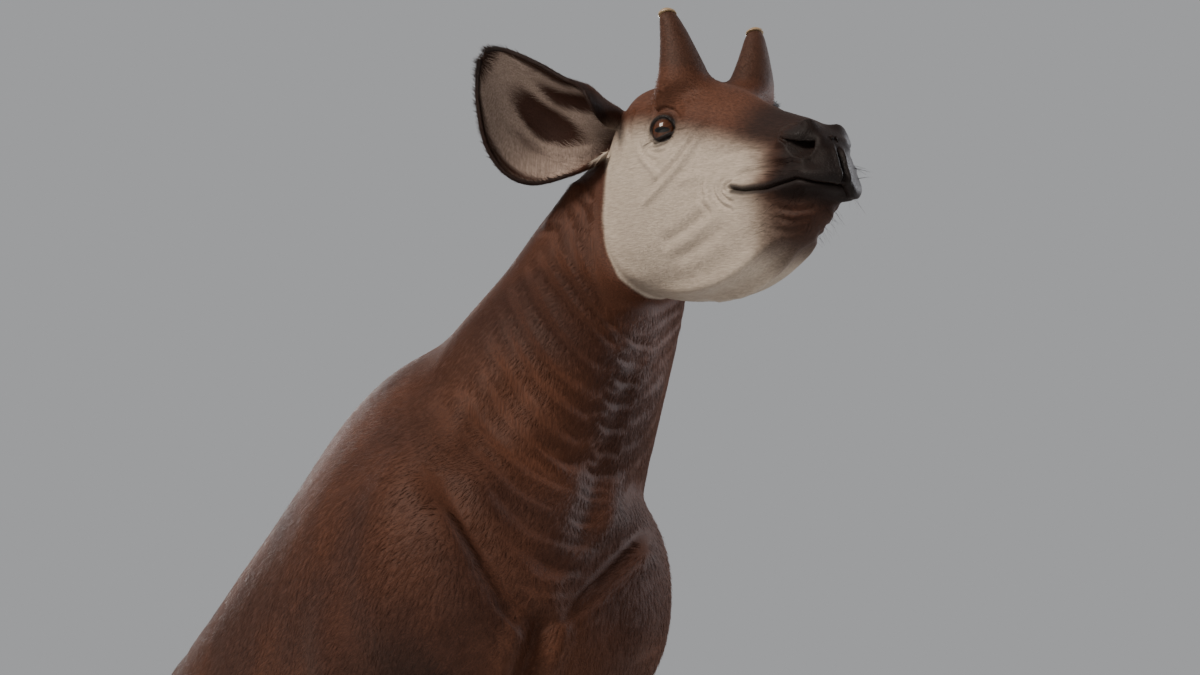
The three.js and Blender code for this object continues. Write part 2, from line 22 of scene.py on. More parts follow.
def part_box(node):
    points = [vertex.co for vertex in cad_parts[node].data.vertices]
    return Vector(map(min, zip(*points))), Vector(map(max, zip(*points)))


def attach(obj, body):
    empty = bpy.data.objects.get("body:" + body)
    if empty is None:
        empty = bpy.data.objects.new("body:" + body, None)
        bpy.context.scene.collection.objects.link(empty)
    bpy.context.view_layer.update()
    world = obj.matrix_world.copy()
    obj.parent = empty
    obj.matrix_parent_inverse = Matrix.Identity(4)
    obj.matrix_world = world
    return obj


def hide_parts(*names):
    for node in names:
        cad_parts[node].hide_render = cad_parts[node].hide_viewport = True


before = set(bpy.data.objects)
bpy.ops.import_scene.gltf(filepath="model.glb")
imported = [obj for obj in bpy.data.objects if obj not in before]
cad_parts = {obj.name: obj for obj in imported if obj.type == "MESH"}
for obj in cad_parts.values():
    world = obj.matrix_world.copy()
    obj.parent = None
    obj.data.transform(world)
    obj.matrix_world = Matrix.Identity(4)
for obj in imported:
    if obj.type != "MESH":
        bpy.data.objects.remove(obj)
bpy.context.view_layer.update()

log = logging.getLogger("okapi")
logging.basicConfig(level=logging.INFO, format="%(message)s")

Rows = np.ndarray
Triple = tuple[float, float, float]
Table = tuple[tuple[float, ...], ...]
Piece, Mesh, Material, BMesh = bpy.types.Object, bpy.types.Mesh, bpy.types.Material, bmesh.types.BMesh

MM = 0.001
SIDES = {"left": 1, "right": -1}
BODY = "root"
PHOTO_SIZE = (1200, 675)
TINY = 1e-9

# Where the middle of the animal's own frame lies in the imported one.
TORSO_FRONT = -704 * MM
TORSO_LOW, TORSO_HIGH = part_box("torso")
SHIFT = Vector(((TORSO_LOW.x + TORSO_HIGH.x) / 2, TORSO_LOW.y - TORSO_FRONT, 0.0))


def linear(code: str) -> tuple[float, float, float, float]:
    """Turns an sRGB hex colour to a linear one.

    Args:
        code: Six hex digits, such as "3b2019".

    Returns:
        Red, green, blue and alpha.
    """
    parts = [int(code[i : i + 2], 16) / 255 for i in (0, 2, 4)]
    r, g, b = (c / 12.92 if c <= 0.04045 else ((c + 0.055) / 1.055) ** 2.4 for c in parts)
    return (r, g, b, 1.0)


def ease(low: float, high: float, value: Rows) -> Rows:
    """A smooth step of the values, from 0 at low to 1 at high, which may lie below low."""
    t = np.clip((value - low) / (high - low), 0.0, 1.0)
    return t * t * (3 - 2 * t)


def bell(value: Rows, middle: float | Rows, width: float) -> Rows:
    """A smooth rise of the values to 1 at the middle, down to about a third at a width from it."""
    return np.exp(-(((value - middle) / width) ** 2))


def read_off(table: Table, at: Rows) -> Rows:
    """What a table of (place, number) rows gives at places between its rows."""
    return np.interp(at, *zip(*table))


def unit(rows: Rows) -> Rows:
    """Brings vectors to a length of one.

    Args:
        rows: A single vector, or one a row.

    Returns:
        The vectors at a length of one.
    """
    if rows.ndim == 1:
        return rows / np.linalg.norm(rows)
    return rows / np.maximum(np.linalg.norm(rows, axis=1), TINY)[:, None]


def through(points: Sequence, count: int) -> Rows:
    """A smooth line through points, by Catmull and Rom's rule.

    Args:
        points: The points, one a row.
        count: How many points the line gets.

    Returns:
        The line's points, one a row.
    """
    points = np.array(points)
    ends = np.vstack([2 * points[0] - points[1], points, 2 * points[-1] - points[-2]])
    t = np.linspace(0, len(points) - 1 - TINY, count)
    i = t.astype(int)
    f = (t - i)[:, None]
    a, b, c, d = (ends[i + k] for k in range(4))
    return 0.5 * (2 * b + (c - a) * f + (2 * a - 5 * b + 4 * c - d) * f**2 + (3 * b - a - 3 * c + d) * f**3)


@dataclass(frozen=True)
class HeadFrame:
    """The head's own frame: x forward along the skull, y to the left and z up, in mm."""

    poll: Triple = (143, -772, 1737)
    yaw: float = 1.0
    pitch: float = -27.0
    roll: float = 8.0

    def matrix(self) -> Matrix:
        """The matrix from the head's frame, in mm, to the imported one, in metres."""
        turn = Matrix.Rotation(math.radians(self.yaw), 4, "Z")
        turn = turn @ Matrix(((0, 1, 0), (-1, 0, 0), (0, 0, 1))).to_4x4()
        turn = turn @ Matrix.Rotation(math.radians(-self.pitch), 4, "Y")
        turn = turn @ Matrix.Rotation(math.radians(self.roll), 4, "X")
        return Matrix.Translation(Vector(self.poll) * MM + SHIFT) @ turn @ Matrix.Scale(MM, 4)


HEAD = HeadFrame().matrix()
HEAD_BACK = HEAD.inverted()
HEAD_STEP = np.array(HEAD.to_3x3())
HEAD_TURN = HEAD_STEP / MM


def by_matrix(matrix: Matrix, points: Rows) -> Rows:
    """Points moved by a 4 by 4 matrix, one a row."""
    m = np.array(matrix)
    return points @ m[:3, :3].T + m[:3, 3]


def in_head(points: Rows) -> Rows:
    """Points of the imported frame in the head's own, in mm."""
    return by_matrix(HEAD_BACK, points)


@dataclass(frozen=True)
class Viewpoint:
    """The photograph's camera, as fitted to the animal's size."""

    place: Triple = (-950, -2560, 250)
    yaw: float = 28.5
    pitch: float = 29.5
    focal_px: float = 1650
    sensor: float = 36.0
    far: float = 60

    def axes(self) -> tuple[Vector, Vector, Vector]:
        """The camera's right, up and forward directions."""
        yaw, pitch = math.radians(self.yaw), math.radians(self.pitch)
        level = math.cos(pitch)
        forward = Vector((math.sin(yaw) * level, math.cos(yaw) * level, math.sin(pitch)))
        right = Vector((math.cos(yaw), -math.sin(yaw), 0))
        return right, right.cross(forward), forward

    def origin(self) -> Vector:
        """Where the camera stands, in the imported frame."""
        return Vector(self.place) * MM + SHIFT

    def ray(self, x: float, y: float) -> Vector:
        """The direction from the camera through a pixel of the photograph.

        Args:
            x: The pixel's place from the left.
            y: Its place from the top.

        Returns:
            The direction.
        """
        right, up, forward = self.axes()
        across = float(x - PHOTO_SIZE[0] / 2) / self.focal_px
        rise = float(PHOTO_SIZE[1] / 2 - y) / self.focal_px
        return (forward + across * right + rise * up).normalized()

    def build(self) -> None:
        """Makes the camera and puts it in the scene."""
        data = bpy.data.cameras.new("viewpoint")
        data.sensor_width = self.sensor
        data.lens = self.focal_px / PHOTO_SIZE[0] * self.sensor
        data.clip_end = self.far
        camera = object_of("viewpoint", data)
        right, up, forward = self.axes()
        turn = Matrix((right, up, -forward)).transposed().to_4x4()
        camera.matrix_world = Matrix.Translation(self.origin()) @ turn
        bpy.context.scene.camera = camera


VIEW = Viewpoint()


def object_of(name: str, data: bpy.types.ID) -> Piece:
    """Makes an object.

    Args:
        name: Its name.
        data: A mesh, a lamp or a camera.

    Returns:
        The object, at the origin, in the scene.
    """
    piece = bpy.data.objects.new(name, data)
    bpy.context.scene.collection.objects.link(piece)
    return piece


def mesh_of(name: str, bm: BMesh) -> Mesh:
    """Makes a mesh from a bmesh.

    Args:
        name: Its name.
        bm: The bmesh, which is freed.

    Returns:
        The mesh, shaded smooth.
    """
    mesh = bpy.data.meshes.new(name)
    bm.to_mesh(mesh)
    bm.free()
    mesh.shade_smooth()
    return mesh


@contextmanager
def editing(mesh: Mesh) -> Iterator[BMesh]:
    """Opens a mesh as a bmesh, and writes it back afterwards.

    Args:
        mesh: The mesh.

    Returns:
        The bmesh, for a with block.
    """
    bm = bmesh.new()
    bm.from_mesh(mesh)
    bm.verts.ensure_lookup_table()
    bm.edges.ensure_lookup_table()
    yield bm
    bm.to_mesh(mesh)
    bm.free()


def place_verts(bm: BMesh, places: Rows) -> None:
    """Puts a bmesh's points at places, one a row."""
    for vert, place in zip(bm.verts, places):
        vert.co = place


def with_modifier(piece: Piece, kind: str, **settings: object) -> None:
    """Puts a modifier on a piece and applies it.

    Args:
        piece: The piece.
        kind: The modifier's type.
        **settings: Its settings.
    """
    modifier = piece.modifiers.new(kind.lower(), kind)
    for key, value in settings.items():
        setattr(modifier, key, value)
    graph = bpy.context.evaluated_depsgraph_get()
    made = bpy.data.meshes.new_from_object(piece.evaluated_get(graph), depsgraph=graph)
    piece.modifiers.clear()
    old, piece.data = piece.data, made
    bpy.data.meshes.remove(old)


def rows_of(items: Sequence, name: str, width: int, kind: type = np.float32) -> Rows:
    """Numbers that a mesh holds, one row for each of its items.

    Args:
        items: The items, such as its vertices.
        name: What is read from each.
        width: How many numbers each has.
        kind: Their type.

    Returns:
        The rows.
    """
    flat = np.empty(len(items) * width, dtype=kind)
    items.foreach_get(name, flat)
    return flat.reshape(-1, width)


def points_of(mesh: Mesh) -> Rows:
    """A mesh's points, one a row."""
    return rows_of(mesh.vertices, "co", 3).astype(float)


def normals_of(mesh: Mesh) -> Rows:
    """A mesh's vertex normals, one a row."""
    return rows_of(mesh.vertex_normals, "vector", 3).astype(float)


def edges_of(mesh: Mesh) -> Rows:
    """A mesh's edges as pairs of points, one a row."""
    return rows_of(mesh.edges, "vertices", 2, np.int32)


def triangles_of(mesh: Mesh) -> Rows:
    """A mesh's triangles as three points each, one a row."""
    mesh.calc_loop_triangles()
    return rows_of(mesh.loop_triangles, "vertices", 3, np.int32)


def tree_of(mesh: Mesh) -> BVHTree:
    """A tree for finding places on a mesh."""
    return BVHTree.FromPolygons(points_of(mesh).tolist(), triangles_of(mesh).tolist())


def put(items: Sequence, name: str, values: Rows, kind: type = np.float32) -> None:
    """Writes a number or a row of them, under a name, on each of a mesh's items."""
    items.foreach_set(name, np.ascontiguousarray(values, dtype=kind).ravel())


def put_points(mesh: Mesh, points: Rows) -> None:
    """Gives a mesh's vertices new places, one a row."""
    put(mesh.vertices, "co", points)
    mesh.update()


def set_field(mesh: Mesh, name: str, values: Rows) -> None:
    """Stores a number at each vertex under a name."""
    attribute = mesh.attributes.get(name) or mesh.attributes.new(name, "FLOAT", "POINT")
    put(attribute.data, "value", values)


def relax(mesh: Mesh, points: Rows, weight: Rows, rounds: int) -> Rows:
    """Points of a mesh drawn towards their neighbours.

    Args:
        mesh: The mesh, for its edges.
        points: The points, one a row.
        weight: How much each point is drawn, from 0 to 1.
        rounds: How many times.

    Returns:
        The new points.
    """
    edges = edges_of(mesh)
    ends, others = (np.concatenate([edges[:, i], edges[:, 1 - i]]) for i in (0, 1))
    share = np.maximum(np.bincount(ends, minlength=len(points)), 1)[:, None]
    for _ in range(rounds):
        middle = np.stack([np.bincount(ends, points[others, k], len(points)) for k in range(3)], 1) / share
        points = points + weight[:, None] * (middle - points)
    return points


class Groove(Enum):
    """How a stroke changes the skin beside its line."""

    CREASE = "a narrow valley with a soft bank on both sides"
    RIDGE = "a rounded rise"
    FOLD = "a valley with a fuller bank on one side"


CREASE, RIDGE, FOLD = Groove


@dataclass(frozen=True)
class Stroke:
    """A line worked into the skin: its shape across, half its width and its depth, in mm, and its course."""

    kind: Groove
    width: float
    depth: float
    points: Rows
    both: bool = True

    @property
    def reach(self) -> float:
        """How far from its line it still moves the skin, in mm."""
        return self.width * (2.4 if self.kind is RIDGE else 3.6)

    def profile(self, distance: Rows, side: Rows) -> Rows:
        """How far the skin moves out.

        Args:
            distance: Each point's distance from the line, in mm.
            side: On which side of the line it lies, from -1 to 1.

        Returns:
            The move, in mm.
        """
        d = distance / self.width
        valley = np.exp(-(d**2))
        if self.kind is RIDGE:
            return self.depth * valley
        bank = np.exp(-((d - 1.9) ** 2) / 0.9)
        share = 0.35 if self.kind is CREASE else 0.15 + 0.6 * ease(-0.2, 0.6, side)
        return self.depth * (share * bank - valley)


def strokes(*rows: tuple, both: bool = False) -> tuple[Stroke, ...]:
    """Strokes from rows of kind, width, depth and then the pixels that each goes through."""
    return tuple(Stroke(*row[:3], np.array(row[3:], float).reshape(-1, 2), both) for row in rows)


class Surface:
    """The skin while it is being modelled, with quick ways to find places on it."""

    ENDS = 0.22
    EDGE = 0.85

    def __init__(self, piece: Piece) -> None:
        """Takes in the skin's points and normals."""
        self.mesh = piece.data
        self.points = points_of(self.mesh)
        self.normals = normals_of(self.mesh)

    def look(self) -> None:
        """Takes in the kept mesh, for finding places on it."""
        self.tree = tree_of(self.mesh)

    def seen_at(self, x: float, y: float) -> Vector | None:
        """The place that a pixel of the photograph shows, if it shows the mesh."""
        return self.tree.ray_cast(VIEW.origin(), VIEW.ray(x, y))[0]

    def nearest(self, point: Vector) -> Vector:
        """The mesh's nearest place to a point."""
        return self.tree.find_nearest(point)[0]

    def push(self, shift: Rows) -> None:
        """Moves the points by steps in the head's frame, in mm."""
        self.points += shift @ HEAD_STEP.T

    def work(self, line: Rows, stroke: Stroke) -> None:
        """Moves the skin along a line that lies on it.

        Args:
            line: The line's points, one a row, in metres.
            stroke: The stroke to work.
        """
        reach = stroke.reach * MM
        low, high = line.min(0) - reach, line.max(0) + reach
        near = np.nonzero(((self.points > low) & (self.points < high)).all(1))[0]
        if not len(near):
            return
        spots = self.points[near]
        starts, spans = line[:-1], np.diff(line, axis=0)
        lengths = np.maximum((spans**2).sum(1), 1e-12)
        best = np.full(len(spots), np.inf)
        along, side = np.zeros((2, len(spots)))
        for i, (start, span, length) in enumerate(zip(starts, spans, lengths)):
            t = np.clip(((spots - start) @ span) / length, 0, 1)
            off = spots - start - t[:, None] * span
            d = np.sqrt((off**2).sum(1))
            closer = d < best
            across = np.cross(span / math.sqrt(length), self.normals[near])
            toward = (off * across).sum(1) / np.maximum(d, TINY)
            best = np.where(closer, d, best)
            along = np.where(closer, (i + t) / len(starts), along)
            side = np.where(closer, toward, side)
        taper = ease(0, self.ENDS, along) * ease(1, 1 - self.ENDS, along)
        facing = ease(reach, reach * self.EDGE, best)
        move = stroke.profile(best / MM, side) * MM * taper * facing
        self.points[near] += self.normals[near] * move[:, None]

    def keep(self) -> None:
        """Writes the moved points back to the mesh."""
        put_points(self.mesh, self.points)
        self.normals = normals_of(self.mesh)


@dataclass
class Skin:
    """One skin over all of the flesh, from the poll to the pasterns, in mm."""

    voxel: float = 5.0
    swell: float = -0.3
    head_swell: float = 1.5
    merge: float = 0.01
    rounds: int = 60
    nape_rounds: int = 90
    ear_blend: float = 14
    ear_wall: float = 4
    limit: int = 196_000
    nodes: tuple[str, ...] = (
        "torso", "neck", "head", "lower_jaw", "tail",
        *(f"{part}_{side}" for part in ("eye", "ossicone") for side in SIDES),
        *(
            f"{leg}leg_{part}_{side}"
            for leg in ("fore", "hind") for part in ("upper", "lower") for side in SIDES
        ),
    )

    def gather(self) -> Piece:
        """Puts the flesh together as one closed mesh."""
        bm = bmesh.new()
        for name in self.nodes:
            part = bmesh.new()
            part.from_mesh(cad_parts[name].data)
            bmesh.ops.remove_doubles(part, verts=part.verts, dist=self.merge * MM)
            swell = (self.head_swell if name in ("head", "lower_jaw") else self.swell) * MM
            part.normal_update()
            for vert in part.verts:
                vert.co += vert.normal * swell
            copy = mesh_of("part", part)
            bm.from_mesh(copy)
            bpy.data.meshes.remove(copy)
        piece = object_of("skin", mesh_of("skin", bm))
        with_modifier(piece, "REMESH", mode="VOXEL", voxel_size=self.voxel * MM, adaptivity=0.0)
        self.keep_largest(piece)
        return piece

    def keep_largest(self, piece: Piece) -> None:
        """Drops every loose part of a mesh but the largest."""
        edges = edges_of(piece.data)
        label = np.arange(len(piece.data.vertices))
        while True:
            low = label[edges].min(1)
            new = label.copy()
            np.minimum.at(new, edges[:, 0], low)
            np.minimum.at(new, edges[:, 1], low)
            new = new[new]
            if (new == label).all():
                break
            label = new
        with editing(piece.data) as bm:
            loose = [bm.verts[i] for i in np.nonzero(label != np.bincount(label).argmax())[0]]
            bmesh.ops.delete(bm, geom=loose, context="VERTS")

    def soften(self, piece: Piece) -> None:
        """Blends the parts into one another, most on the body and least on the head and legs."""
        points = points_of(piece.data)
        parts = Parts(points)
        hx, _, hz = parts.local.T
        weight = np.clip(1.0 - 0.88 * parts.head - 0.35 * parts.neck, 0.1, 1.0)
        weight *= 1 - 0.8 * (1 - parts.head) * ease(70, 15, np.maximum(parts.behind, parts.below))
        jaw_angle = 0.3 * ease(215, 150, hx) * ease(40, 0, hz)
        muzzle = 0.4 * ease(425, 462, hx)
        horn_root = 0.42 * ease(100, 70, parts.horn_gap) * ease(146, 110, hz) * ease(64, 84, hz)
        weight = np.maximum(weight, parts.head * np.maximum(jaw_angle, np.maximum(muzzle, horn_root)))
        weight *= 1 - 0.93 * np.maximum(parts.leg, parts.tail)
        weight = np.where(parts.horn > 0.5, 0.06, weight)
        points = relax(piece.data, self.thin_crest(points, parts), weight, self.rounds)
        _, y, z = parts.model.T
        nape = ease(-520, -440, y) * ease(-110, -210, y) * ease(1230, 1330, z) * ease(1780, 1700, z)
        nape *= ease(-20, 60, y - neck_middle(z)[1])
        put_points(piece.data, relax(piece.data, points, nape, self.nape_rounds))

    @staticmethod
    def thin_crest(points: Rows, parts: "Parts") -> Rows:
        """Draws the crest of the neck in, so that it runs into the withers without a step.

        Args:
            points: The points of the skin.
            parts: Which part each lies in.

        Returns:
            The points, moved.
        """
        _, y, z = parts.model.T
        share = 0.6 * ease(1570, 1650, z) * (1 - parts.head)
        moved = points.copy()
        moved[:, 1] -= share * np.maximum(y - neck_middle(z)[1] - 100, 0) * MM
        return moved

    def join(self, piece: Piece, ears: Sequence["Ear"]) -> None:
        """Grows the two ears from the head.

        Args:
            piece: The skin.
            ears: The two ears.
        """
        head_tree = tree_of(piece.data)
        for ear in ears:
            cup = ear.build()
            with_modifier(piece, "BOOLEAN", operation="UNION", solver="MANIFOLD", object=cup)
            bpy.data.objects.remove(cup)
        self.keep_largest(piece)
        points = points_of(piece.data)
        weight = np.zeros(len(points))
        trees = [ear.tree() for ear in ears]
        reach, wall = self.ear_blend * MM, self.ear_wall * MM
        for i in np.nonzero(Parts(points).head > 0.5)[0]:
            spot = Vector(points[i])
            off = head_tree.find_nearest(spot)[3]
            if off < reach:
                gap = min(tree.find_nearest(spot)[3] for tree in trees)
                weight[i] = max(0.0, 1 - max(off, gap - wall) / reach)
        put_points(piece.data, relax(piece.data, points, weight, 10))

    def refine(self, piece: Piece, chosen: Callable[["Parts"], Rows]) -> None:
        """Halves the faces of a region.

        Args:
            piece: The skin.
            chosen: Tells of each point whether it lies in the region.
        """
        mesh = piece.data
        points, edges = points_of(mesh), edges_of(mesh)
        inside = chosen(Parts(points))[edges].all(1)
        lengths = np.linalg.norm(points[edges[:, 0]] - points[edges[:, 1]], axis=1)
        wanted = np.nonzero(inside & (lengths > np.median(lengths[inside]) * 0.6))[0]
        with editing(mesh) as bm:
            bmesh.ops.subdivide_edges(bm, edges=[bm.edges[i] for i in wanted], cuts=1, use_grid_fill=True)
        points = points_of(mesh)
        put_points(mesh, relax(mesh, points, 0.5 * chosen(Parts(points)).astype(float), 3))

    def thin(self, piece: Piece) -> None:
        """Takes out the triangles that the form doesn't need."""
        with editing(piece.data) as bm:
            bmesh.ops.triangulate(bm, faces=bm.faces)
        share = self.limit / len(piece.data.polygons)
        log.info("skin: %d triangles, thinned to %.0f%%", len(piece.data.polygons), share * 100)
        with_modifier(piece, "DECIMATE", ratio=share)


# In mm: the lower edge of the jaws by length, the head's back edge by height and its half width
# by length, all in the head's frame, and then the neck's middle in the body's, as (height, left, rear).
KEEL = (
    (-104, -114), (-74, -162), (0, -197), (70, -208), (130, -212), (250, -209), (315, -191), (376, -158),
    (430, -112),
)
BACK = ((-198, 0), (-164, -74), (-114, -104), (12, -104), (76, -76), (116, -10))
CHEEK = ((-104, 48), (-74, 78), (0, 90), (50, 97), (110, 102), (150, 140))
NECK = (
    (1190, 8, -370), (1322, 35, -457), (1462, 77, -517), (1600, 134, -530), (1690, 149, -582),
    (1742, 147, -662),
)


def neck_middle(heights: Rows) -> tuple[Rows, Rows]:
    """How far to the left and to the back the neck's middle lies at each height, in mm."""
    z, x, y = zip(*NECK)
    return np.interp(heights, z, x), np.interp(heights, z, y)


class Parts:
    """Which part of the animal each of a list of points lies in, as weights from 0 to 1."""

    def __init__(self, points: Rows) -> None:
        """Reads the points.

        Args:
            points: The points, one a row, in metres.
        """
        self.model = (points - np.array(SHIFT)) / MM
        self.local = in_head(points)
        x, y, z = self.model.T
        hx, hy, hz = self.local.T
        self.below = read_off(KEEL, hx) - hz
        self.behind = np.maximum(read_off(BACK, hz) - hx, np.abs(hy) - read_off(CHEEK, hx))
        self.head = ease(16, 0, self.behind) * ease(34, 8, self.below)
        above_chest = -0.813 * (y + 704) + 0.583 * (z - 1118)
        self.neck = ease(-70, 70, above_chest) * (1 - self.head)
        self.leg = np.maximum(ease(880, 740, z) * (y < 0), ease(1000, 800, z) * (y > 250))
        self.tail = ((y > 648) & (np.abs(x) < 60) & (z < 1262)).astype(float)
        line = through(Horn().stations, 24)[:, :3]
        self.horn_gap = np.full(len(points), np.inf)
        high = (hz > 60) & (hx > 0) & (hx < 230)
        if high.any():
            spots = np.stack([hx, np.abs(hy), hz], 1)[high]
            self.horn_gap[high] = np.sqrt(((spots[:, None] - line[None]) ** 2).sum(2)).min(1)
        self.horn = ease(56, 40, self.horn_gap) * ease(112, 132, hz)

    @property
    def front(self) -> Rows:
        """Whether each point lies on the neck or the front of the chest, where the skin folds."""
        x, y, z = self.model.T
        chest = (y < -520) & (z > 930) & (np.abs(x) < 260)
        return ((self.neck > 0.35) & (self.head < 0.95) & (y < -420)) | chest

    @property
    def detail(self) -> Rows:
        """Whether each point lies by an eye, a nostril or the lips."""
        hx, hy, hz = self.local.T
        eye = Eye().centre
        by_eye = (hx - eye[0]) ** 2 + (np.abs(hy) - eye[1]) ** 2 + (hz - eye[2]) ** 2 < 50**2
        by_nose = (hx > 385) & (hz > -45) & (hz < 45)
        by_lips = (hx > 270) & (np.abs(hz - Mouth().height(hx)) < 24)
        return (self.head > 0.9) & (by_eye | by_nose | by_lips)


@dataclass(frozen=True)
class Horn:
    """A skin-covered horn that leans back: round sections in the head's frame, as (x, y, z, radius) in mm."""

    stations: Table = (
        (122, 48, 80, 54), (123, 54, 100, 45), (121, 59, 125, 36.5), (113, 65, 155, 28),
        (103, 70, 182, 21.5), (94, 74, 201, 17), (89, 76, 211, 13), (86, 77, 217, 6),
    )


@dataclass(frozen=True)
class Muzzle:
    """The blunt, rounded front of the upper lip and nose, in the head's frame, in mm.

    Its middle reaches to `front` and rounds off by `fall` over half a width `half`, both by height.
    """

    front: Table = (
        (-150, 420), (-128, 436), (-104, 448), (-80, 468), (-70, 484), (-56, 492), (-40, 484), (-22, 472),
        (-7, 461), (8, 447), (22, 440), (40, 434),
    )
    half: Table = ((-100, 34), (-50, 38), (-10, 30), (10, 24))
    fall: float = 32
    spread: float = 0.2
    rounds: int = 30

    def shape(self, skin: Surface) -> None:
        """Rounds the front of the muzzle.

        Args:
            skin: The skin.
        """
        hx, hy, hz = in_head(skin.points).T
        near = (hx > 380) & (np.abs(hz) < 160)
        wide = hy * self.spread * ease(425, 470, hx) * ease(-96, -74, hz) * ease(0, -24, hz)
        share = np.abs(hy + wide) / read_off(self.half, hz)
        over = hx - read_off(self.front, hz) + self.fall * np.tanh(share**2.5)
        back = np.where(over > 8, over, np.maximum(over + 8, 0) ** 2 / 32) * ease(14, -10, hz)
        skin.push(np.stack([-back, wide, 0 * hx], 1) * near[:, None])
        weight = 0.9 * near * ease(405, 440, hx)
        skin.points = relax(skin.mesh, skin.points, weight, self.rounds)
        skin.keep()


@dataclass(frozen=True)
class Mouth:
    """The line between the lips, in the head's frame, in mm."""

    line: Table = (
        (294, -62), (330, -67), (380, -67), (415, -61), (440, -57), (460, -57), (540, -59),
    )
    slit: float = 6.0
    overhang: float = 20

    def height(self, x: Rows) -> Rows:
        """How high the line lies at each distance along the head."""
        return read_off(self.line, x)

    def shape(self, skin: Surface) -> None:
        """Parts the lips and rounds them.

        Args:
            skin: The skin.
        """
        hx, hy, hz = in_head(skin.points).T
        level = np.abs(hz) < 140
        corner, low = self.line[0]
        rise = hz - self.height(hx)
        off = np.where(hx > corner, np.abs(rise), np.hypot(hx - corner, hz - low))
        near = (hx > corner - 30) & (off < 58) & level
        back = ease(corner - 12, corner + 16, hx)
        front = ease(440, 478, hx)
        upper = (2.6 + 3.0 * front) * bell(rise, 8 + 3 * front, 7.5) * (rise > 0)
        lower = (2.0 + 1.2 * front) * bell(rise, -6.5, 5.5) * (rise <= 0)
        under = -7.0 * bell(rise, -26, 11) * ease(385, 430, hx)
        hollow = -1.8 * bell(rise, 24, 8) * ease(300, 330, hx) * (1 - front)
        lips = (upper + lower) * ease(0, 2.2, off) + under + hollow - self.slit * bell(off, 0, 1.7)
        skin.points += skin.normals * (np.where(near, lips * back, 0.0) * MM)[:, None]
        hangs = self.overhang * ease(436, 472, hx) * (0.22 + 0.78 * ease(2, 20, hy))
        droop = hangs * ease(40, 4, rise) * (rise > 0)
        sink = 0.5 * hangs * ease(-60, -4, rise) * (rise <= 0)
        tuck = -7.0 * ease(440, 470, hx) * ease(-50, -8, rise) * (rise <= 0)
        skin.push(np.stack([tuck, 0 * tuck, -droop - sink], 1) * level[:, None])
        skin.keep()


@dataclass(frozen=True)
class Eye:
    """An eyeball and the opening between its lids, in the head's frame, in mm."""

    centre: Triple = (113, 66, 34)
    radius: float = 27
    outward: Triple = (0.62, 0.78, -0.1)
    upward: Triple = (-0.1, 0, 1.0)
    upper_lid: Table = ((19, -2), (12, 11), (1, 17.3), (-11, 14), (-19.5, 4), (-21, -7.5))
    lower_lid: Table = ((-21, -7.5), (-15, -11.4), (-5, -9.8), (8, -5), (19, -2))
    lid: float = 1.5
    sunk: float = 4.0

    def axes(self, side: int) -> tuple[Rows, Rows, Rows, Rows]:
        """The ball's centre and its forward, upward and outward directions, in the head's frame.

        Args:
            side: 1 for the left eye and -1 for the right.

        Returns:
            The centre and the three directions.
        """
        mirror = np.array([1, side, 1])
        out = unit(np.array(self.outward) * mirror)
        up = np.array(self.upward)
        up = unit(up - out * (up @ out))
        return np.array(self.centre) * mirror, -side * np.cross(up, out), up, out

    def shape(self, skin: Surface, side: int) -> None:
        """Draws the lids over the ball and folds the skin round them.

        Args:
            skin: The skin.
            side: 1 for the left eye and -1 for the right.
        """
        centre, forward, up, out = self.axes(side)
        local = in_head(skin.points)
        away = local - centre
        reach = np.linalg.norm(away, axis=1)
        near = np.nonzero((reach < 62) & (away @ out > 2))[0]
        reach = reach[near]
        turn = away[near] / reach[:, None]
        flat = self.radius * np.stack([turn @ forward, turn @ up], 1)
        opening = [through(lid, 40)[:-1] for lid in (self.upper_lid, self.lower_lid)]
        past, edge = past_ring(flat, np.vstack(opening))
        drawn = np.abs(past) < 1.0
        flat = flat + 0.9 * drawn[:, None] * (edge - flat)
        past = np.where(drawn, past * 0.1, past)
        depth = np.sqrt(np.maximum(self.radius**2 - (flat**2).sum(1), 9))
        onto_edge = unit(flat[:, :1] * forward + flat[:, 1:] * up + depth[:, None] * out)
        turn = np.where(drawn[:, None], onto_edge, turn)
        upper = ease(-3, 3, flat[:, 1] - read_off((self.upper_lid[-1], self.upper_lid[0]), flat[:, 0]))
        roll = 1.3 * bell(past, 3.4, 3.0)
        fold = -2.2 * bell(past, np.where(upper > 0.5, 10.5, 6.0), 1.5) * (0.55 + 0.45 * upper)
        bag = (1 - upper) * (1.3 * bell(past, 9.5, 2.2) - 1.4 * bell(past, 13.5, 1.6))
        brow = upper * 1.6 * bell(past, 15, 3.2)
        shown = self.radius + self.lid + 0.05 * np.maximum(past, 0) + roll
        lidded = np.where(past > -0.12, shown, self.radius - self.sunk)
        keep = ease(5, 17, past)
        new = lidded * (1 - keep) + reach * keep + (fold + bag + brow) * ease(26, 16, past)
        target = centre + turn * new[:, None]
        moved = local[near] + ease(60, 46, reach)[:, None] * (target - local[near])
        skin.points[near] = by_matrix(HEAD, moved)
        skin.keep()


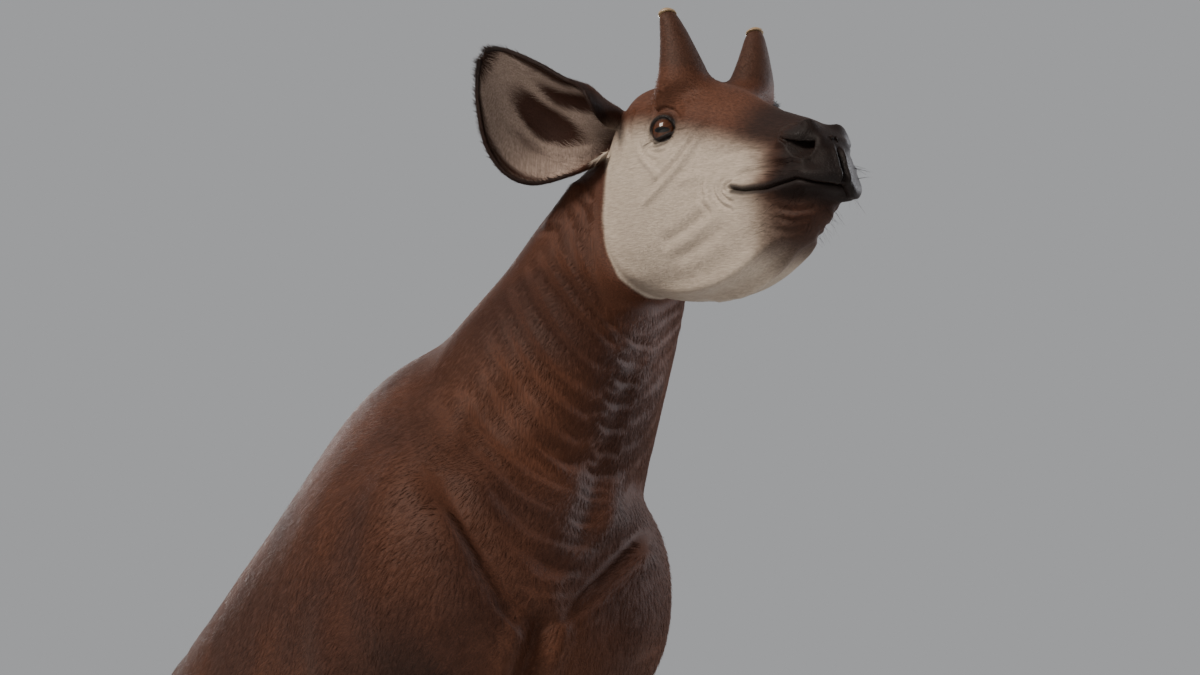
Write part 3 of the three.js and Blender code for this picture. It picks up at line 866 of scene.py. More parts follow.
@dataclass(frozen=True)
class Nostril:
    """A nostril: a deep crescent under a raised wing, as the photograph shows it on the right side.

    Its opening is in pixels of the photograph, the way inward is the left one's, and the rest is in mm.
    """

    opening: Table = (
        (784.0, 139.4), (791.5, 140.6), (800.0, 141.8), (808.2, 142.2), (815.0, 141.8),
        (814.0, 149.0), (810.0, 155.0), (803.0, 158.0), (795.0, 155.5), (788.0, 148.5),
    )
    inward: Triple = (0.25, -0.78, 0.42)
    depth: float = 30
    wing: float = 4.6
    rim: float = 0.9

    def shape(self, skin: Surface) -> None:
        """Opens both nostrils.

        Args:
            skin: The skin.
        """
        skin.look()
        ring = np.array([HEAD_BACK @ skin.seen_at(*pixel) for pixel in self.opening])
        for side in SIDES.values():
            self.open(skin, ring * np.array([1, -side, 1]), side)

    def open(self, skin: Surface, edge: Rows, side: int) -> None:
        """Opens one nostril.

        Args:
            skin: The skin.
            edge: Its edge, in the head's frame.
            side: 1 for the left nostril and -1 for the right.
        """
        middle = edge.mean(0)
        normal = np.linalg.svd(edge - middle)[2][2]
        normal *= np.sign(normal[1] * side)
        along = edge[4] - edge[0]
        along = unit(along - normal * (along @ normal))
        across = np.cross(normal, along)
        axes = np.stack([along, across * np.sign(across[2])], 1)
        local = in_head(skin.points)
        away = local - middle
        near = (np.linalg.norm(away, axis=1) < 60) & (away @ normal > -22) & (local[:, 1] * side > 0)
        flat = away[near] @ axes
        past, _ = past_ring(flat, (edge - middle) @ axes)
        above = ease(-2, 7, flat[:, 1])
        wing = self.wing * above * bell(past, 7, 7.5) * ease(-1.5, 2.0, past)
        rim = self.rim * (1 - above) * bell(past, 3, 3) * ease(-1.5, 1.5, past)
        pit = ease(0.5, -1.8, past) * self.depth
        inward = unit(np.array(self.inward) * np.array([1, side, 1]))
        normals = skin.normals[near] @ np.array(HEAD_BACK.to_3x3().normalized()).T
        moved = local[near] + normals * (wing + rim)[:, None] + inward * pit[:, None]
        skin.points[near] = by_matrix(HEAD, moved)
        skin.keep()


def past_ring(flat: Rows, ring: Rows) -> tuple[Rows, Rows]:
    """How far flat points lie beyond a closed ring.

    Args:
        flat: The points, two numbers a row.
        ring: The ring's corners, two numbers a row.

    Returns:
        The distances, less than 0 inside, and the nearest points of the ring.
    """
    best = np.full(len(flat), np.inf)
    spot = np.zeros_like(flat)
    inside = np.zeros(len(flat), dtype=bool)
    for start, end in zip(ring, np.roll(ring, -1, 0)):
        way = end - start
        t = np.clip(((flat - start) @ way) / (way @ way), 0, 1)
        at = start + t[:, None] * way
        d = np.linalg.norm(flat - at, axis=1)
        closer = d < best
        best = np.where(closer, d, best)
        spot = np.where(closer[:, None], at, spot)
        crosses = (start[1] > flat[:, 1]) != (end[1] > flat[:, 1])
        rise = way[1] if abs(way[1]) > TINY else TINY
        inside ^= crosses & (flat[:, 0] < start[0] + (flat[:, 1] - start[1]) / rise * way[0])
    return np.where(inside, -best, best), spot


@dataclass
class Ear:
    """A leaf of cartilage, rolled into a tube at its root and opening to a cup, in mm.

    Attributes:
        stations: Its sections, as (place along it from 0 to 1, how far its middle lies towards the
            front edge, half its width, and the curl of its front and rear edges in degrees).
    """

    word: str
    length: float = 250
    thickness: float = 5.5
    root: Triple = (-34, 76, 34)
    lengthwise: Triple = (-0.42, 0.76, 0.5)
    facing: Triple = (0.86, 0.45, -0.2)
    stations: Table = (
        (0, 2, 36, 165, 150), (0.12, -24, 62, 148, 95), (0.28, -51, 84, 112, 70), (0.46, -60, 88, 78, 66),
        (0.66, -52, 78, 66, 62), (0.84, -34, 54, 56, 56), (0.95, -20, 29, 50, 50), (1, -14, 9, 46, 46),
    )
    across: int = 64
    steps: int = 84

    def leaf(self, u: Rows, v: Rows, lift: Rows | float = 0.0) -> Rows:
        """Places on the middle of the leaf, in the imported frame.

        Args:
            u: How far along the ear, from 0 at the root to 1 at the tip.
            v: How far across it, from -1 at the rear edge to 1 at the front one.
            lift: How far off the leaf towards the hollow side, in mm.

        Returns:
            The places, one a row.
        """
        fine = through(self.stations, 200)
        middle, half, front, rear = (np.interp(u, fine[:, 0], fine[:, k]) for k in range(1, 5))
        side = SIDES[self.word]
        mirror = np.array([1, side, 1])
        along = unit(np.array(self.lengthwise) * mirror)
        ahead = np.array(self.facing) * mirror
        ahead = unit(ahead - along * (ahead @ along))
        edgeward = np.cross(along, ahead) * -side
        radius = half / np.sin(np.radians(np.minimum(90, rear)))
        turn = np.radians(np.where(v > 0, front, rear)) * v
        sideways = middle + np.sin(turn) * (radius - lift)
        forward = radius * np.cos(np.radians(rear)) - np.cos(turn) * (radius - lift)
        places = np.outer(self.length * u, along) + np.outer(sideways, edgeward) + np.outer(forward, ahead)
        return by_matrix(HEAD, np.array(self.root) * mirror + places)

    def relief(self, u: Rows, v: Rows) -> Rows:
        """The rolled rim and the ridges of cartilage that run down the hollow side, in mm."""
        ridges = 4.2 * bell(v - 0.45 * u, 0.12, 0.10) + 3.0 * bell(v - 0.1 * u, -0.2, 0.09)
        ridges += 1.8 * bell(v, -0.48, 0.08) - 2.2 * bell(v, 0.46, 0.14)
        gutter = 3.6 * ease(0.86, 1.0, np.abs(v)) - 3.4 * bell(np.abs(v), 0.80, 0.09)
        hollow = -7.0 * bell(v, 0.1, 0.4) * bell(u, 0.45, 0.26)
        return ridges * ease(0.04, 0.2, u) * ease(0.86, 0.5, u) + gutter * ease(0.1, 0.3, u) + hollow

    def grid(self, relief: bool = False) -> tuple[BMesh, Rows, Rows]:
        """The leaf as a grid.

        Args:
            relief: Whether it has its ridges.

        Returns:
            The grid, and the place of each of its points along and across the leaf.
        """
        bm = bmesh.new()
        bmesh.ops.create_grid(bm, x_segments=self.across, y_segments=self.steps, size=0.5)
        flat = np.array([vert.co[:] for vert in bm.verts])
        u, v = flat[:, 1] + 0.5, flat[:, 0] * 2
        place_verts(bm, self.leaf(u, v, self.relief(u, v) if relief else 0.0))
        return bm, u, v

    def build(self) -> Piece:
        """Makes the ear as one closed wall, thicker along its rolled rim."""
        bm, u, v = self.grid(relief=True)
        cup = object_of("ear_" + self.word, mesh_of("ear", bm))
        group = cup.vertex_groups.new(name="wall")
        rim = bell(np.abs(v), 1, 0.07) * ease(0.12, 0.3, u) + 0.8 * ease(0.95, 1, u)
        for i, share in enumerate(np.clip(0.62 + 0.38 * rim, 0, 1)):
            group.add([i], float(share), "REPLACE")
        with_modifier(cup, "SOLIDIFY", thickness=self.thickness * 1.35 * MM, offset=0.0, vertex_group="wall")
        with_modifier(cup, "SUBSURF", levels=1, render_levels=1)
        with editing(cup.data) as bm:
            bmesh.ops.recalc_face_normals(bm, faces=bm.faces)
        return cup

    def tree(self) -> BVHTree:
        """A tree of the leaf's middle, for finding what lies near the ear."""
        bm = self.grid()[0]
        tree = BVHTree.FromBMesh(bm)
        bm.free()
        return tree


@dataclass
class Folds:
    """The muscles, folds, creases and veins of the skin, as lines in the photograph's pixels.

    Attributes:
        rungs: The rings of the windpipe, as (x, y, half width) in pixels.
        philtrum: The groove under the nose, in the head's frame, in mm.
    """

    masses: tuple[Stroke, ...] = strokes(
        (CREASE, 21, 10.7, 424, 452, 446, 488, 466, 524, 488, 560, 510, 594, 530, 622, 541, 642),
        (CREASE, 17, 10.7, 664, 494, 650, 518, 634, 540, 614, 558, 594, 580, 572, 604, 549, 634),
        (CREASE, 16, 19.0, 546, 606, 541, 630, 533, 654, 525, 680, 516, 716),
        (RIDGE, 46, 7.3, 650, 540, 644, 574, 641, 612, 636, 660),
        (RIDGE, 52, 7.3, 424, 500, 432, 545, 446, 594, 462, 650),
        (CREASE, 30, 5.6, 538, 366, 510, 402, 474, 446, 440, 484),
        (RIDGE, 42, 6.5, 586, 470, 560, 520, 545, 566),
    )
    throat: tuple[Stroke, ...] = strokes(
        (RIDGE, 15, 5.0, 692, 312, 670, 360, 654, 402, 636, 446, 620, 484, 606, 530, 600, 562),
        (CREASE, 15, 4.3, 650, 322, 640, 352, 625, 394, 611, 434, 597, 476, 582, 518, 568, 562),
        (RIDGE, 34, 2.8, 600, 300, 596, 348, 580, 400, 560, 452, 536, 506, 520, 548),
    )
    chest: tuple[Stroke, ...] = strokes(
        (FOLD, 12, 4.2, 449, 494, 462, 516, 477, 540, 492, 562),
        (FOLD, 7, 2.7, 494, 598, 508, 612, 522, 628, 536, 644),
        (FOLD, 7, 1.9, 486, 612, 498, 628, 512, 642, 530, 656),
        (FOLD, 7, 2.2, 505, 586, 520, 600, 534, 616, 542, 630),
        (FOLD, 7, 2.5, 604, 592, 588, 604, 570, 616, 550, 630),
        (FOLD, 7, 2.0, 606, 606, 590, 618, 572, 630, 550, 642),
        (FOLD, 8, 2.0, 516, 556, 536, 570, 562, 574, 586, 566),
        (FOLD, 7, 1.6, 520, 576, 540, 590, 562, 590, 582, 580),
    )
    neck: tuple[Stroke, ...] = strokes(
        (FOLD, 8, 1.2, 566, 210, 576, 240, 588, 270, 606, 300),
        (FOLD, 9, 1.6, 552, 226, 566, 258, 586, 290, 608, 320, 628, 338),
        (FOLD, 8, 1.4, 540, 242, 554, 272, 576, 304, 600, 332, 620, 352),
        (FOLD, 9, 1.7, 527, 256, 540, 290, 558, 322, 584, 352, 612, 374),
        (FOLD, 9, 2.0, 512, 276, 520, 304, 538, 340, 564, 370, 600, 396),
        (FOLD, 8, 1.4, 506, 296, 516, 330, 538, 370, 566, 400, 598, 420),
        (FOLD, 9, 1.5, 486, 318, 504, 356, 530, 396, 558, 426, 590, 444),
        (FOLD, 8, 1.1, 480, 352, 500, 396, 530, 432, 560, 458, 586, 470),
        (FOLD, 8, 1.9, 530, 436, 546, 448, 560, 462, 572, 474),
        (FOLD, 9, 1.2, 474, 398, 496, 436, 524, 464, 552, 484, 576, 494),
        (FOLD, 9, 1.2, 478, 440, 504, 474, 532, 498, 562, 514),
        (FOLD, 10, 1.4, 484, 480, 512, 512, 540, 534, 562, 542),
        (FOLD, 9, 1.4, 492, 520, 516, 546, 542, 562, 560, 568),
        (FOLD, 12, 1.5, 460, 380, 474, 404, 482, 430),
        (CREASE, 16, 1.6, 440, 396, 446, 424, 444, 448),
        (RIDGE, 22, 9.0, 586, 176, 571, 196, 557, 216, 547, 233),
        (FOLD, 7, 1.5, 566, 182, 576, 196, 585, 212, 590, 228),
        (FOLD, 6, 1.6, 582, 176, 588, 188, 592, 202),
        both=True,
    )
    face: tuple[Stroke, ...] = strokes(
        (RIDGE, 16, 3.2, 612, 214, 611, 240, 618, 260, 632, 274, 656, 281),
        (RIDGE, 11, 6.2, 648, 290, 686, 289, 718, 282, 744, 267, 768, 246, 794, 228),
        (CREASE, 15, 9.0, 690, 301, 724, 295, 752, 281, 778, 259, 800, 240),
        (CREASE, 2.4, 2.1, 646, 136, 649, 122, 659, 110.5, 668, 107.6, 677, 113.5, 685, 128.2),
        (CREASE, 1.8, 1.9, 675.6, 130.4, 681, 129.5, 687, 127.4),
        (CREASE, 2, 1.8, 645, 143, 650, 148, 660, 146.3, 672, 139.5),
        (CREASE, 2.6, 1.3, 648, 150, 656, 153, 666, 150, 676, 144),
        (CREASE, 4.5, 2.4, 638, 140, 642, 152, 650, 160, 660, 162),
        (CREASE, 7, 3.6, 636, 108, 630, 124, 630, 142),
        (CREASE, 5, 2.2, 690, 134, 700, 128, 712, 124),
        (RIDGE, 5.5, 4.3, 712, 120, 698, 141, 684, 161, 669, 179, 651, 198, 634, 213),
        (CREASE, 4, 2.2, 706, 118, 692, 139, 678, 158, 663, 175, 645, 194),
        (RIDGE, 7, 2.6, 640, 148, 652, 170, 664, 184),
        (FOLD, 2.6, 2.4, 727, 194, 724, 189, 727, 183, 733, 180),
        (FOLD, 3.2, 2.6, 737, 203, 727, 200, 720, 192, 720, 183, 727, 176),
        (FOLD, 3.6, 2.1, 735, 211, 722, 205, 714, 194, 714, 183),
        (FOLD, 4, 2.2, 705, 200, 700, 190, 703, 180),
        (FOLD, 5, 1.8, 712, 216, 703, 206, 697, 194),
        (CREASE, 3.4, 1.8, 719, 157, 738, 151, 752, 150, 768, 156),
        (CREASE, 4.2, 1.8, 745, 166, 766, 162, 788, 163),
        (CREASE, 5, 2.8, 728, 181, 746, 173, 768, 168, 792, 163),
        (RIDGE, 8, 2.4, 700, 152, 716, 146, 736, 140, 760, 136),
        (CREASE, 1.9, 1.9, 778, 137, 782, 139.5, 787, 143.4),
        (CREASE, 3.2, 1.6, 779, 138, 783, 129, 794, 124, 806, 126),
        (CREASE, 9, 3.5, 656, 246, 676, 236, 694, 222, 712, 206),
        (CREASE, 10, 2.8, 668, 262, 690, 252, 712, 236, 730, 222),
        (RIDGE, 6, 2.6, 676, 186, 690, 178, 702, 176),
        (CREASE, 4.5, 2.8, 770, 207, 790, 211, 806, 210, 820, 204),
        (CREASE, 4.5, 2.4, 776, 217, 794, 221, 812, 216),
        (CREASE, 5, 1.9, 768, 229, 788, 232, 806, 226),
        both=True,
    )
    rungs: Table = (
        (638, 341, 14), (630, 360, 17), (626, 380, 17), (617, 401, 18), (612, 426, 17), (606, 450, 15),
        (600, 473, 17), (589, 495, 20), (578, 520, 19), (568, 543, 20), (563, 566, 24),
    )
    rung: tuple[float, float] = (6.5, 1.5)
    philtrum: Table = (
        (478, 0, -70), (484, 0, -58), (478, 0, -42), (468, 0, -24), (458, 0, -6),
    )

    def shape(self, skin: Surface) -> None:
        """Works every line into the skin.

        Args:
            skin: The skin.
        """
        skin.look()
        for stroke in self.masses:
            self.work(skin, stroke, self.over_neck)
        for stroke in self.throat + self.chest + self.neck:
            self.work(skin, stroke, self.over_neck, 0.5)
        for x, y, half in self.rungs:
            row = (CREASE, *self.rung, x - half, y - 6, x - half / 3, y, x + half / 3, y + 2, x + half, y + 1)
            self.work(skin, strokes(row)[0], self.over_neck)
        skin.keep()
        for stroke in self.face:
            self.work(skin, stroke, self.over_head)
        line = [skin.nearest(HEAD @ Vector(p)) for p in through(self.philtrum, 24)]
        skin.work(np.array(line), Stroke(CREASE, 3.4, 6.5, np.array(self.philtrum)))
        skin.keep()

    @staticmethod
    def over_head(spot: Vector) -> Vector:
        """The place across the head from another."""
        local = HEAD_BACK @ spot
        return HEAD @ Vector((local.x, -local.y, local.z))

    @staticmethod
    def over_neck(spot: Vector) -> Vector:
        """The place across the neck from another, whose middle bends to the left as it rises."""
        model = (spot - SHIFT) / MM
        middle = float(neck_middle(np.array(model.z))[0])
        return Vector((2 * middle - model.x, model.y, model.z)) * MM + SHIFT

    @staticmethod
    def work(skin: Surface, stroke: Stroke, across: Callable[[Vector], Vector], share: float = 1.0) -> None:
        """Works one line, and its like on the other side.

        Args:
            skin: The skin.
            stroke: The line.
            across: Gives the place on the other side, if the stroke is on both.
            share: How deep it is on the other side, as a share of this one.
        """
        seen = [skin.seen_at(*pixel) for pixel in through(stroke.points, 6 * len(stroke.points))]
        line = [spot for spot in seen if spot is not None]
        if len(line) < 4:
            log.warning("a stroke at %s misses the skin", stroke.points[0])
            return
        skin.work(np.array(line), stroke)
        if stroke.both:
            other = [skin.nearest(across(spot)) for spot in line]
            skin.work(np.array(other), replace(stroke, depth=stroke.depth * share))


class Markings:
    """The coat's colours and patterns, as numbers at each point that skin and hair both carry."""

    EDGE = 5 * MM

    def __init__(self, ears: Sequence[Ear]) -> None:
        """Learns where the two ears, the neck and the head are.

        Args:
            ears: The two ears.
        """
        self.hollows: list[tuple[BVHTree, Rows, Rows, list[Vector]]] = []
        for ear in ears:
            bm, u, v = ear.grid()
            self.faces = [[vert.index for vert in face.verts] for face in bm.faces]
            spots = [vert.co.copy() for vert in bm.verts]
            bm.free()
            ways = [(Vector(b) - a).normalized() for a, b in zip(spots, ear.leaf(u, v, 10))]
            self.hollows.append((BVHTree.FromPolygons(spots, self.faces), u, v, ways))
        self.solids = [tree_of(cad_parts[name].data) for name in ("neck", "head", "lower_jaw")]

    def ear_place(self, points: Rows) -> Rows:
        """Where points lie on an ear.

        Args:
            points: The points, one a row.

        Returns:
            How near an ear each lies, from 0 to 1, its place along and across the leaf, and how far it
            lies on the hollow side, from 0 to 1, each as a row.
        """
        found = np.zeros((4, len(points)))
        hx, hy, hz = in_head(points).T
        close = np.nonzero((hx < 130) & (np.abs(hy) > 40) & (hx > -330) & (hz > -120))[0]
        for tree, u, v, ways in self.hollows:
            for i in close:
                spot, _, face, off = tree.find_nearest(Vector(points[i]), 20 * MM)
                if spot is None:
                    continue
                corners = self.faces[face]
                share = ease(12 * MM, 6 * MM, off)
                if share > found[0, i]:
                    lift = (Vector(points[i]) - spot) @ ways[corners[0]]
                    found[:, i] = share, u[corners].mean(), v[corners].mean(), ease(-1.2 * MM, 1.2 * MM, lift)
        return found

    def on_face(self, points: Rows, edge: Rows) -> Rows:
        """Whether points lie on the head and not on the neck.

        Args:
            points: The points, one a row, in metres.
            edge: How far each lies behind or below the head, in mm.

        Returns:
            A share for each, from 0 on the neck to 1 on the head.
        """
        lead = np.where(edge < 0, 1.0, -1.0)
        for i in np.nonzero((edge > -60) & (edge < 130))[0]:
            neck, *head = (tree.find_nearest(Vector(points[i]))[3] for tree in self.solids)
            lead[i] = neck - min(head)
        return ease(-self.EDGE, self.EDGE, lead)

    def read(self, points: Rows) -> dict[str, Rows]:
        """The numbers at each point.

        Args:
            points: The points, one a row, in metres.

        Returns:
            The numbers by name.
        """
        parts = Parts(points)
        x, y, z = parts.model.T
        hx, hy, hz = parts.local.T
        side = np.abs(hy)
        near, along, across, hollow = self.ear_place(points)
        on_ear = near * ease(0.05, 0.14, along)
        head = parts.head * (1 - on_ear)
        low = ease(48, -6, hz + 0.16 * np.maximum(hx - 130, -70) - 0.12 * side)
        edge = np.maximum(parts.below, parts.behind)
        pale = self.on_face(points, edge) * (1 - on_ear) * low * ease(415, 300, hx + 0.1 * hz)
        bridge = head * ease(-6, 22, hz + 0.2 * (hx - 300)) * ease(235, 330, hx)
        muzzle = head * np.maximum(ease(345, 425, hx + 0.15 * np.abs(hz + 20)), 0.8 * bridge)
        muzzle *= 1 - 0.45 * ease(-72, -96, hz) * ease(470, 440, hx)
        brow = head * ease(20, 62, hz - 0.16 * (200 - hx)) * ease(330, 230, hx) * ease(-60, 0, hx)
        eye = Eye().centre
        ring = np.sqrt((hx - eye[0] - 12) ** 2 + (side - eye[1] - 16) ** 2 + ((hz - eye[2]) * 1.1) ** 2)
        lips = head * ease(12, 4, np.abs(hz - Mouth().height(hx))) * ease(286, 304, hx)
        nose = head * bell(hx, 428, 30) * bell(side, 38, 20) * bell(hz, -6, 19)
        bare = head * ease(452, 478, hx - 0.25 * np.abs(hz + 30))
        bare = np.maximum(bare, np.maximum(1.2 * nose, 0.75 * lips))
        rim = ease(0.80, 0.93, np.abs(across)) + ease(0.9, 0.97, along)
        fore, hind = y < 0, y > 200
        thigh = hind * ease(1010, 900, z) * ease(330, 470, y + 0.12 * (z - 900))
        buttock = hind * ease(400, 620, y - 0.35 * np.abs(z - 1060)) * ease(1390, 1270, z - 0.10 * y)
        haunch = np.maximum(thigh, buttock) * ease(640, 700, z - 0.1 * y + 20) * (1 - parts.tail)
        arm = fore * ease(-270, -330, y) * ease(890, 850, z) * ease(655, 690, z)
        phase = np.where(hind, (z - 0.24 * (y - 500) + 0.12 * np.abs(x)) / 46, (z + 0.1 * y) / 52)
        band = ease(606, 596, z) * ease(548, 556, z)
        sock = ease(478, 466, z + 0.25 * (y + 455)) * ease(212, 224, z)
        front_line = bell(x, np.sign(x) * 138, 15) * (y < -455) * ease(500, 470, z)
        fore_white = fore * (band + sock) * (1 - 0.95 * front_line)
        hind_white = hind * ease(640, 610, z + 0.3 * (y - 540)) * ease(222, 238, z)
        pastern = ease(168, 150, z) * ease(98, 110, z)
        stocking = np.clip(fore_white + hind_white + 0.75 * pastern, 0, 1) * (parts.leg > 0.02)
        under = ease(1010, 880, z) * (1 - parts.leg) * (np.abs(y) < 620)
        dark = np.clip(0.75 * under + 0.55 * parts.leg * (1 - stocking) + muzzle + 0.85 * on_ear * rim, 0, 1)
        dark = np.maximum(dark, np.maximum(0.5 * head * ease(33, 22, ring), 0.35 * on_ear * (1 - hollow)))
        return {
            "pale": np.clip(pale * (1 - muzzle), 0, 1),
            "dark": np.clip(dark + 0.4 * parts.tail, 0, 1),
            "rust": np.clip(brow * (1 - 0.5 * parts.horn), 0, 1),
            "stripes": np.maximum(haunch, arm) * (1 - stocking),
            "phase": phase,
            "stocking": stocking,
            "bare": np.clip(np.maximum(bare, head * ease(25, 20, ring)), 0, 1),
            "inner": on_ear * hollow * np.clip(1 - rim, 0, 1),
            "horned": parts.horn,
            "face": parts.head,
            "upright": np.clip(parts.leg + parts.neck + parts.tail, 0, 1),
            "ear": near * ease(0.02, 0.08, along),
        }

    def mark(self, mesh: Mesh, points: Rows, owner: Rows | slice = slice(None)) -> None:
        """Stores the numbers on a mesh.

        Args:
            mesh: The mesh.
            points: The places to read.
            owner: For each of the mesh's points, which of the places it belongs to.
        """
        for name, values in self.read(points).items():
            set_field(mesh, name, values[owner])


class Shader:
    """A material's nodes."""

    def __init__(self, name: str) -> None:
        """Makes an empty material.

        Args:
            name: The material's name.
        """
        self.material = bpy.data.materials.new(name)
        self.material.use_nodes = True
        self.tree = self.material.node_tree
        self.tree.nodes.clear()

    def add(
        self, kind: str, inputs: dict | None = None, settings: dict | None = None, out: int | str = 0
    ) -> object:
        """Adds a node with its settings and links.

        Args:
            kind: The node's type, without its prefix.
            inputs: What each input takes: a socket to link or a value to hold.
            settings: Its settings by name.
            out: Which of its outputs to give back.

        Returns:
            The output's socket, or the node where it has none.
        """
        node = self.tree.nodes.new("ShaderNode" + kind)
        for key, value in (settings or {}).items():
            setattr(node, key, value)
        for key, value in (inputs or {}).items():
            if isinstance(value, bpy.types.NodeSocket):
                self.tree.links.new(value, node.inputs[key])
            else:
                node.inputs[key].default_value = value
        return node.outputs[out] if node.outputs else node


TIMES, PLUS, MINUS, TIMES_PLUS, PINGPONG, LENGTH, NORMALIZE = (
    {"operation": name}
    for name in ("MULTIPLY", "ADD", "SUBTRACT", "MULTIPLY_ADD", "PINGPONG", "LENGTH", "NORMALIZE")
)
MIX = {"data_type": "RGBA"}
MIX_MULTIPLY = {"data_type": "RGBA", "blend_type": "MULTIPLY"}
MIX_FACTOR, MIX_A, MIX_B, MIX_OUT = 0, 6, 7, 2
SMOOTH = {"interpolation_type": "SMOOTHSTEP"}


@dataclass(frozen=True)
class Hide:
    """Short, dense okapi hair over skin: velvety, almost black-brown, reddish in the light.

    The hair lies flat in one direction, so light runs along it in soft streaks. On the skin these
    streaks are painted into the colour as lighter and darker bands, painted highlight and painted
    shade, and are also raised in the bump. Each hair is 0.1 mm thick, far too fine to show here, so the
    streaks are drawn about 2 mm wide and 26 mm long, like the small tufts in which such a coat parts.

    Attributes:
        tufted: Whether it is for the modelled tufts, which have their own form, and not for the skin.
        dim: How far painted shade darkens the colour, as `lit` lightens it with painted light.
        wander: How far apart the bends of a marking's edge lie, in mm, as all sizes here.
        cloud: How large the redder patches are.
        pore: How far apart the pores of the naked skin lie.
    """

    name: str = "okapi_short_hair"
    tufted: bool = False
    body: str = "38221a"
    body_warm: str = "472a1d"
    deep: str = "160e0c"
    rust: str = "4a2e22"
    pale: str = "978b7f"
    white: str = "d8d0c2"
    inner: str = "83736a"
    bare: str = "181312"
    horned: str = "3a251c"
    sheen: str = "b58a6e"
    dim: tuple[float, ...] = (0.6, 0.58, 0.56, 1)
    lit: tuple[float, ...] = (1.25, 1.25, 1.25, 1)
    streak_width: float = 2.2
    streak_length: float = 26
    wander: float = 52
    cloud: float = 220
    pore: float = 4.5
    bump: float = 1.1

    def build(self) -> Material:
        """Makes the material."""
        s = Shader(self.name)
        place = s.add("TexCoord", out="Object")
        read = {
            name: s.add("Attribute", {}, {"attribute_name": name}, "Fac")
            for name in (
                "pale", "dark", "rust", "stripes", "phase", "stocking", "bare", "inner", "horned", "face",
                "upright", "tone", "tip",
            )
        }
        bend, cloud = (
            s.add("TexNoise", {"Vector": place, "Scale": 1 / (size * MM), "Detail": detail})
            for size, detail in ((self.wander, 3.0), (self.cloud, 2.0))
        )

        shift = s.add("Math", {0: bend, 1: 0.64, 2: -0.32}, TIMES_PLUS)
        phase = s.add("Math", {0: read["phase"], 1: shift}, PLUS)
        wave = s.add("Math", {0: phase, 1: 0.5}, PINGPONG)
        taper = s.add("Math", {0: read["stripes"], 1: -0.27, 2: 0.515}, TIMES_PLUS)
        band = s.add("Math", {0: wave, 1: taper}, MINUS)
        ragged = s.add("Math", {0: bend, 1: 0.5, 2: -0.25}, TIMES_PLUS)
        sock = s.add("Math", {0: read["stocking"], 1: ragged}, PLUS)
        band, sock, warm, naked = (
            s.add("MapRange", {"Value": value, "From Min": low, "From Max": high}, SMOOTH)
            for value, low, high in (
                (band, 0.0, 0.045), (sock, 0.42, 0.58), (cloud, 0.35, 0.7), (read["bare"], 0.15, 0.95),
            )
        )
        colour = linear(self.body)
        for share, code in (
            (warm, self.body_warm), (read["rust"], self.rust), (read["horned"], self.horned),
            (read["pale"], self.pale), (read["inner"], self.inner), (read["dark"], self.deep),
            (band, self.white), (sock, self.white),
        ):
            colour = s.add("Mix", {MIX_FACTOR: share, MIX_A: colour, MIX_B: linear(code)}, MIX, MIX_OUT)

        if self.tufted:
            # Painted shade at the root of each tuft: darker at the root and lighter towards the tip, on top
            # of the tuft's own random tone.
            tone = s.add("Math", {0: read["tip"], 1: 0.2, 2: -0.08}, TIMES_PLUS)
            tone = s.add("Math", {0: read["tone"], 1: tone}, PLUS)
        else:
            # The streaks along the lie of the hair, used for painted highlight and shade in the colour and
            # for the bump.
            fine, long = 1 / (self.streak_width * MM), 1 / (self.streak_length * MM)
            level, upright = (fine, long, fine), (fine, fine, long)
            lays = []
            for turn, scale in ((0.0, level), (0.0, upright), (math.radians(HeadFrame().pitch), level)):
                laid = s.add("Mapping", {"Vector": place, "Rotation": (turn, 0.0, 0.0)})
                laid = s.add("VectorMath", {0: laid, 1: scale}, TIMES)
                streaks = {"Vector": laid, "Scale": 1.0, "Detail": 3.0, "Roughness": 0.6}
                lays.append(s.add("TexNoise", streaks))
            lay = lays[0]
            for share, other in ((read["upright"], lays[1]), (read["face"], lays[2])):
                lay = s.add("Mix", {MIX_FACTOR: share, MIX_A: lay, MIX_B: other}, MIX, MIX_OUT)
            tone = s.add("MapRange", {"Value": lay, "From Min": 0.25, "From Max": 0.75}, SMOOTH)
        calm = s.add("Math", {0: read["pale"], 1: 0.5}, TIMES)
        tone = s.add("Mix", {0: calm, 2: tone, 3: 0.6}, {"data_type": "FLOAT"})
        # Painted light and shade: the tone multiplies the colour between `dim` and `lit`. On the skin the
        # tone follows the painted streaks along the hair. On the tufts it is each tuft's random tone plus
        # painted shade at its root.
        shade = s.add("Mix", {MIX_FACTOR: tone, MIX_A: self.dim, MIX_B: self.lit}, MIX, MIX_OUT)
        haired = s.add("Mix", {MIX_FACTOR: 1.0, MIX_A: colour, MIX_B: shade}, MIX_MULTIPLY, MIX_OUT)
        colour = s.add("Mix", {MIX_FACTOR: naked, MIX_A: haired, MIX_B: linear(self.bare)}, MIX, MIX_OUT)
        gloss = s.add("MapRange", {"Value": naked, "To Min": 0.6, "To Max": 0.5})
        finish = {
            "Base Color": colour, "Roughness": gloss, "Specular IOR Level": 0.1, "Sheen Weight": 0.04,
            "Sheen Roughness": 0.4, "Sheen Tint": linear(self.sheen),
        }
        if not self.tufted:
            pores = {"Vector": place, "Scale": 1 / (self.pore * MM)}
            pores = s.add("TexVoronoi", pores, {"feature": "DISTANCE_TO_EDGE"})
            pores = s.add("MapRange", {"Value": pores, "From Min": 0.0, "From Max": 0.12}, SMOOTH)
            fur_share = s.add("MapRange", {"Value": naked, "To Min": 1.0, "To Max": 0.12})
            leather_share = s.add("Math", {0: naked, 1: 0.45}, TIMES)
            fur = s.add("Math", {0: lay, 1: fur_share}, TIMES)
            leather = s.add("Math", {0: pores, 1: leather_share}, TIMES)
            height = s.add("Math", {0: fur, 1: leather}, PLUS)
            relief = {"Height": height, "Strength": 0.75, "Distance": self.bump * MM}
            finish["Normal"] = s.add("Bump", relief, out="Normal")
        s.add("OutputMaterial", {"Surface": s.add("BsdfPrincipled", finish)})
        return s.material


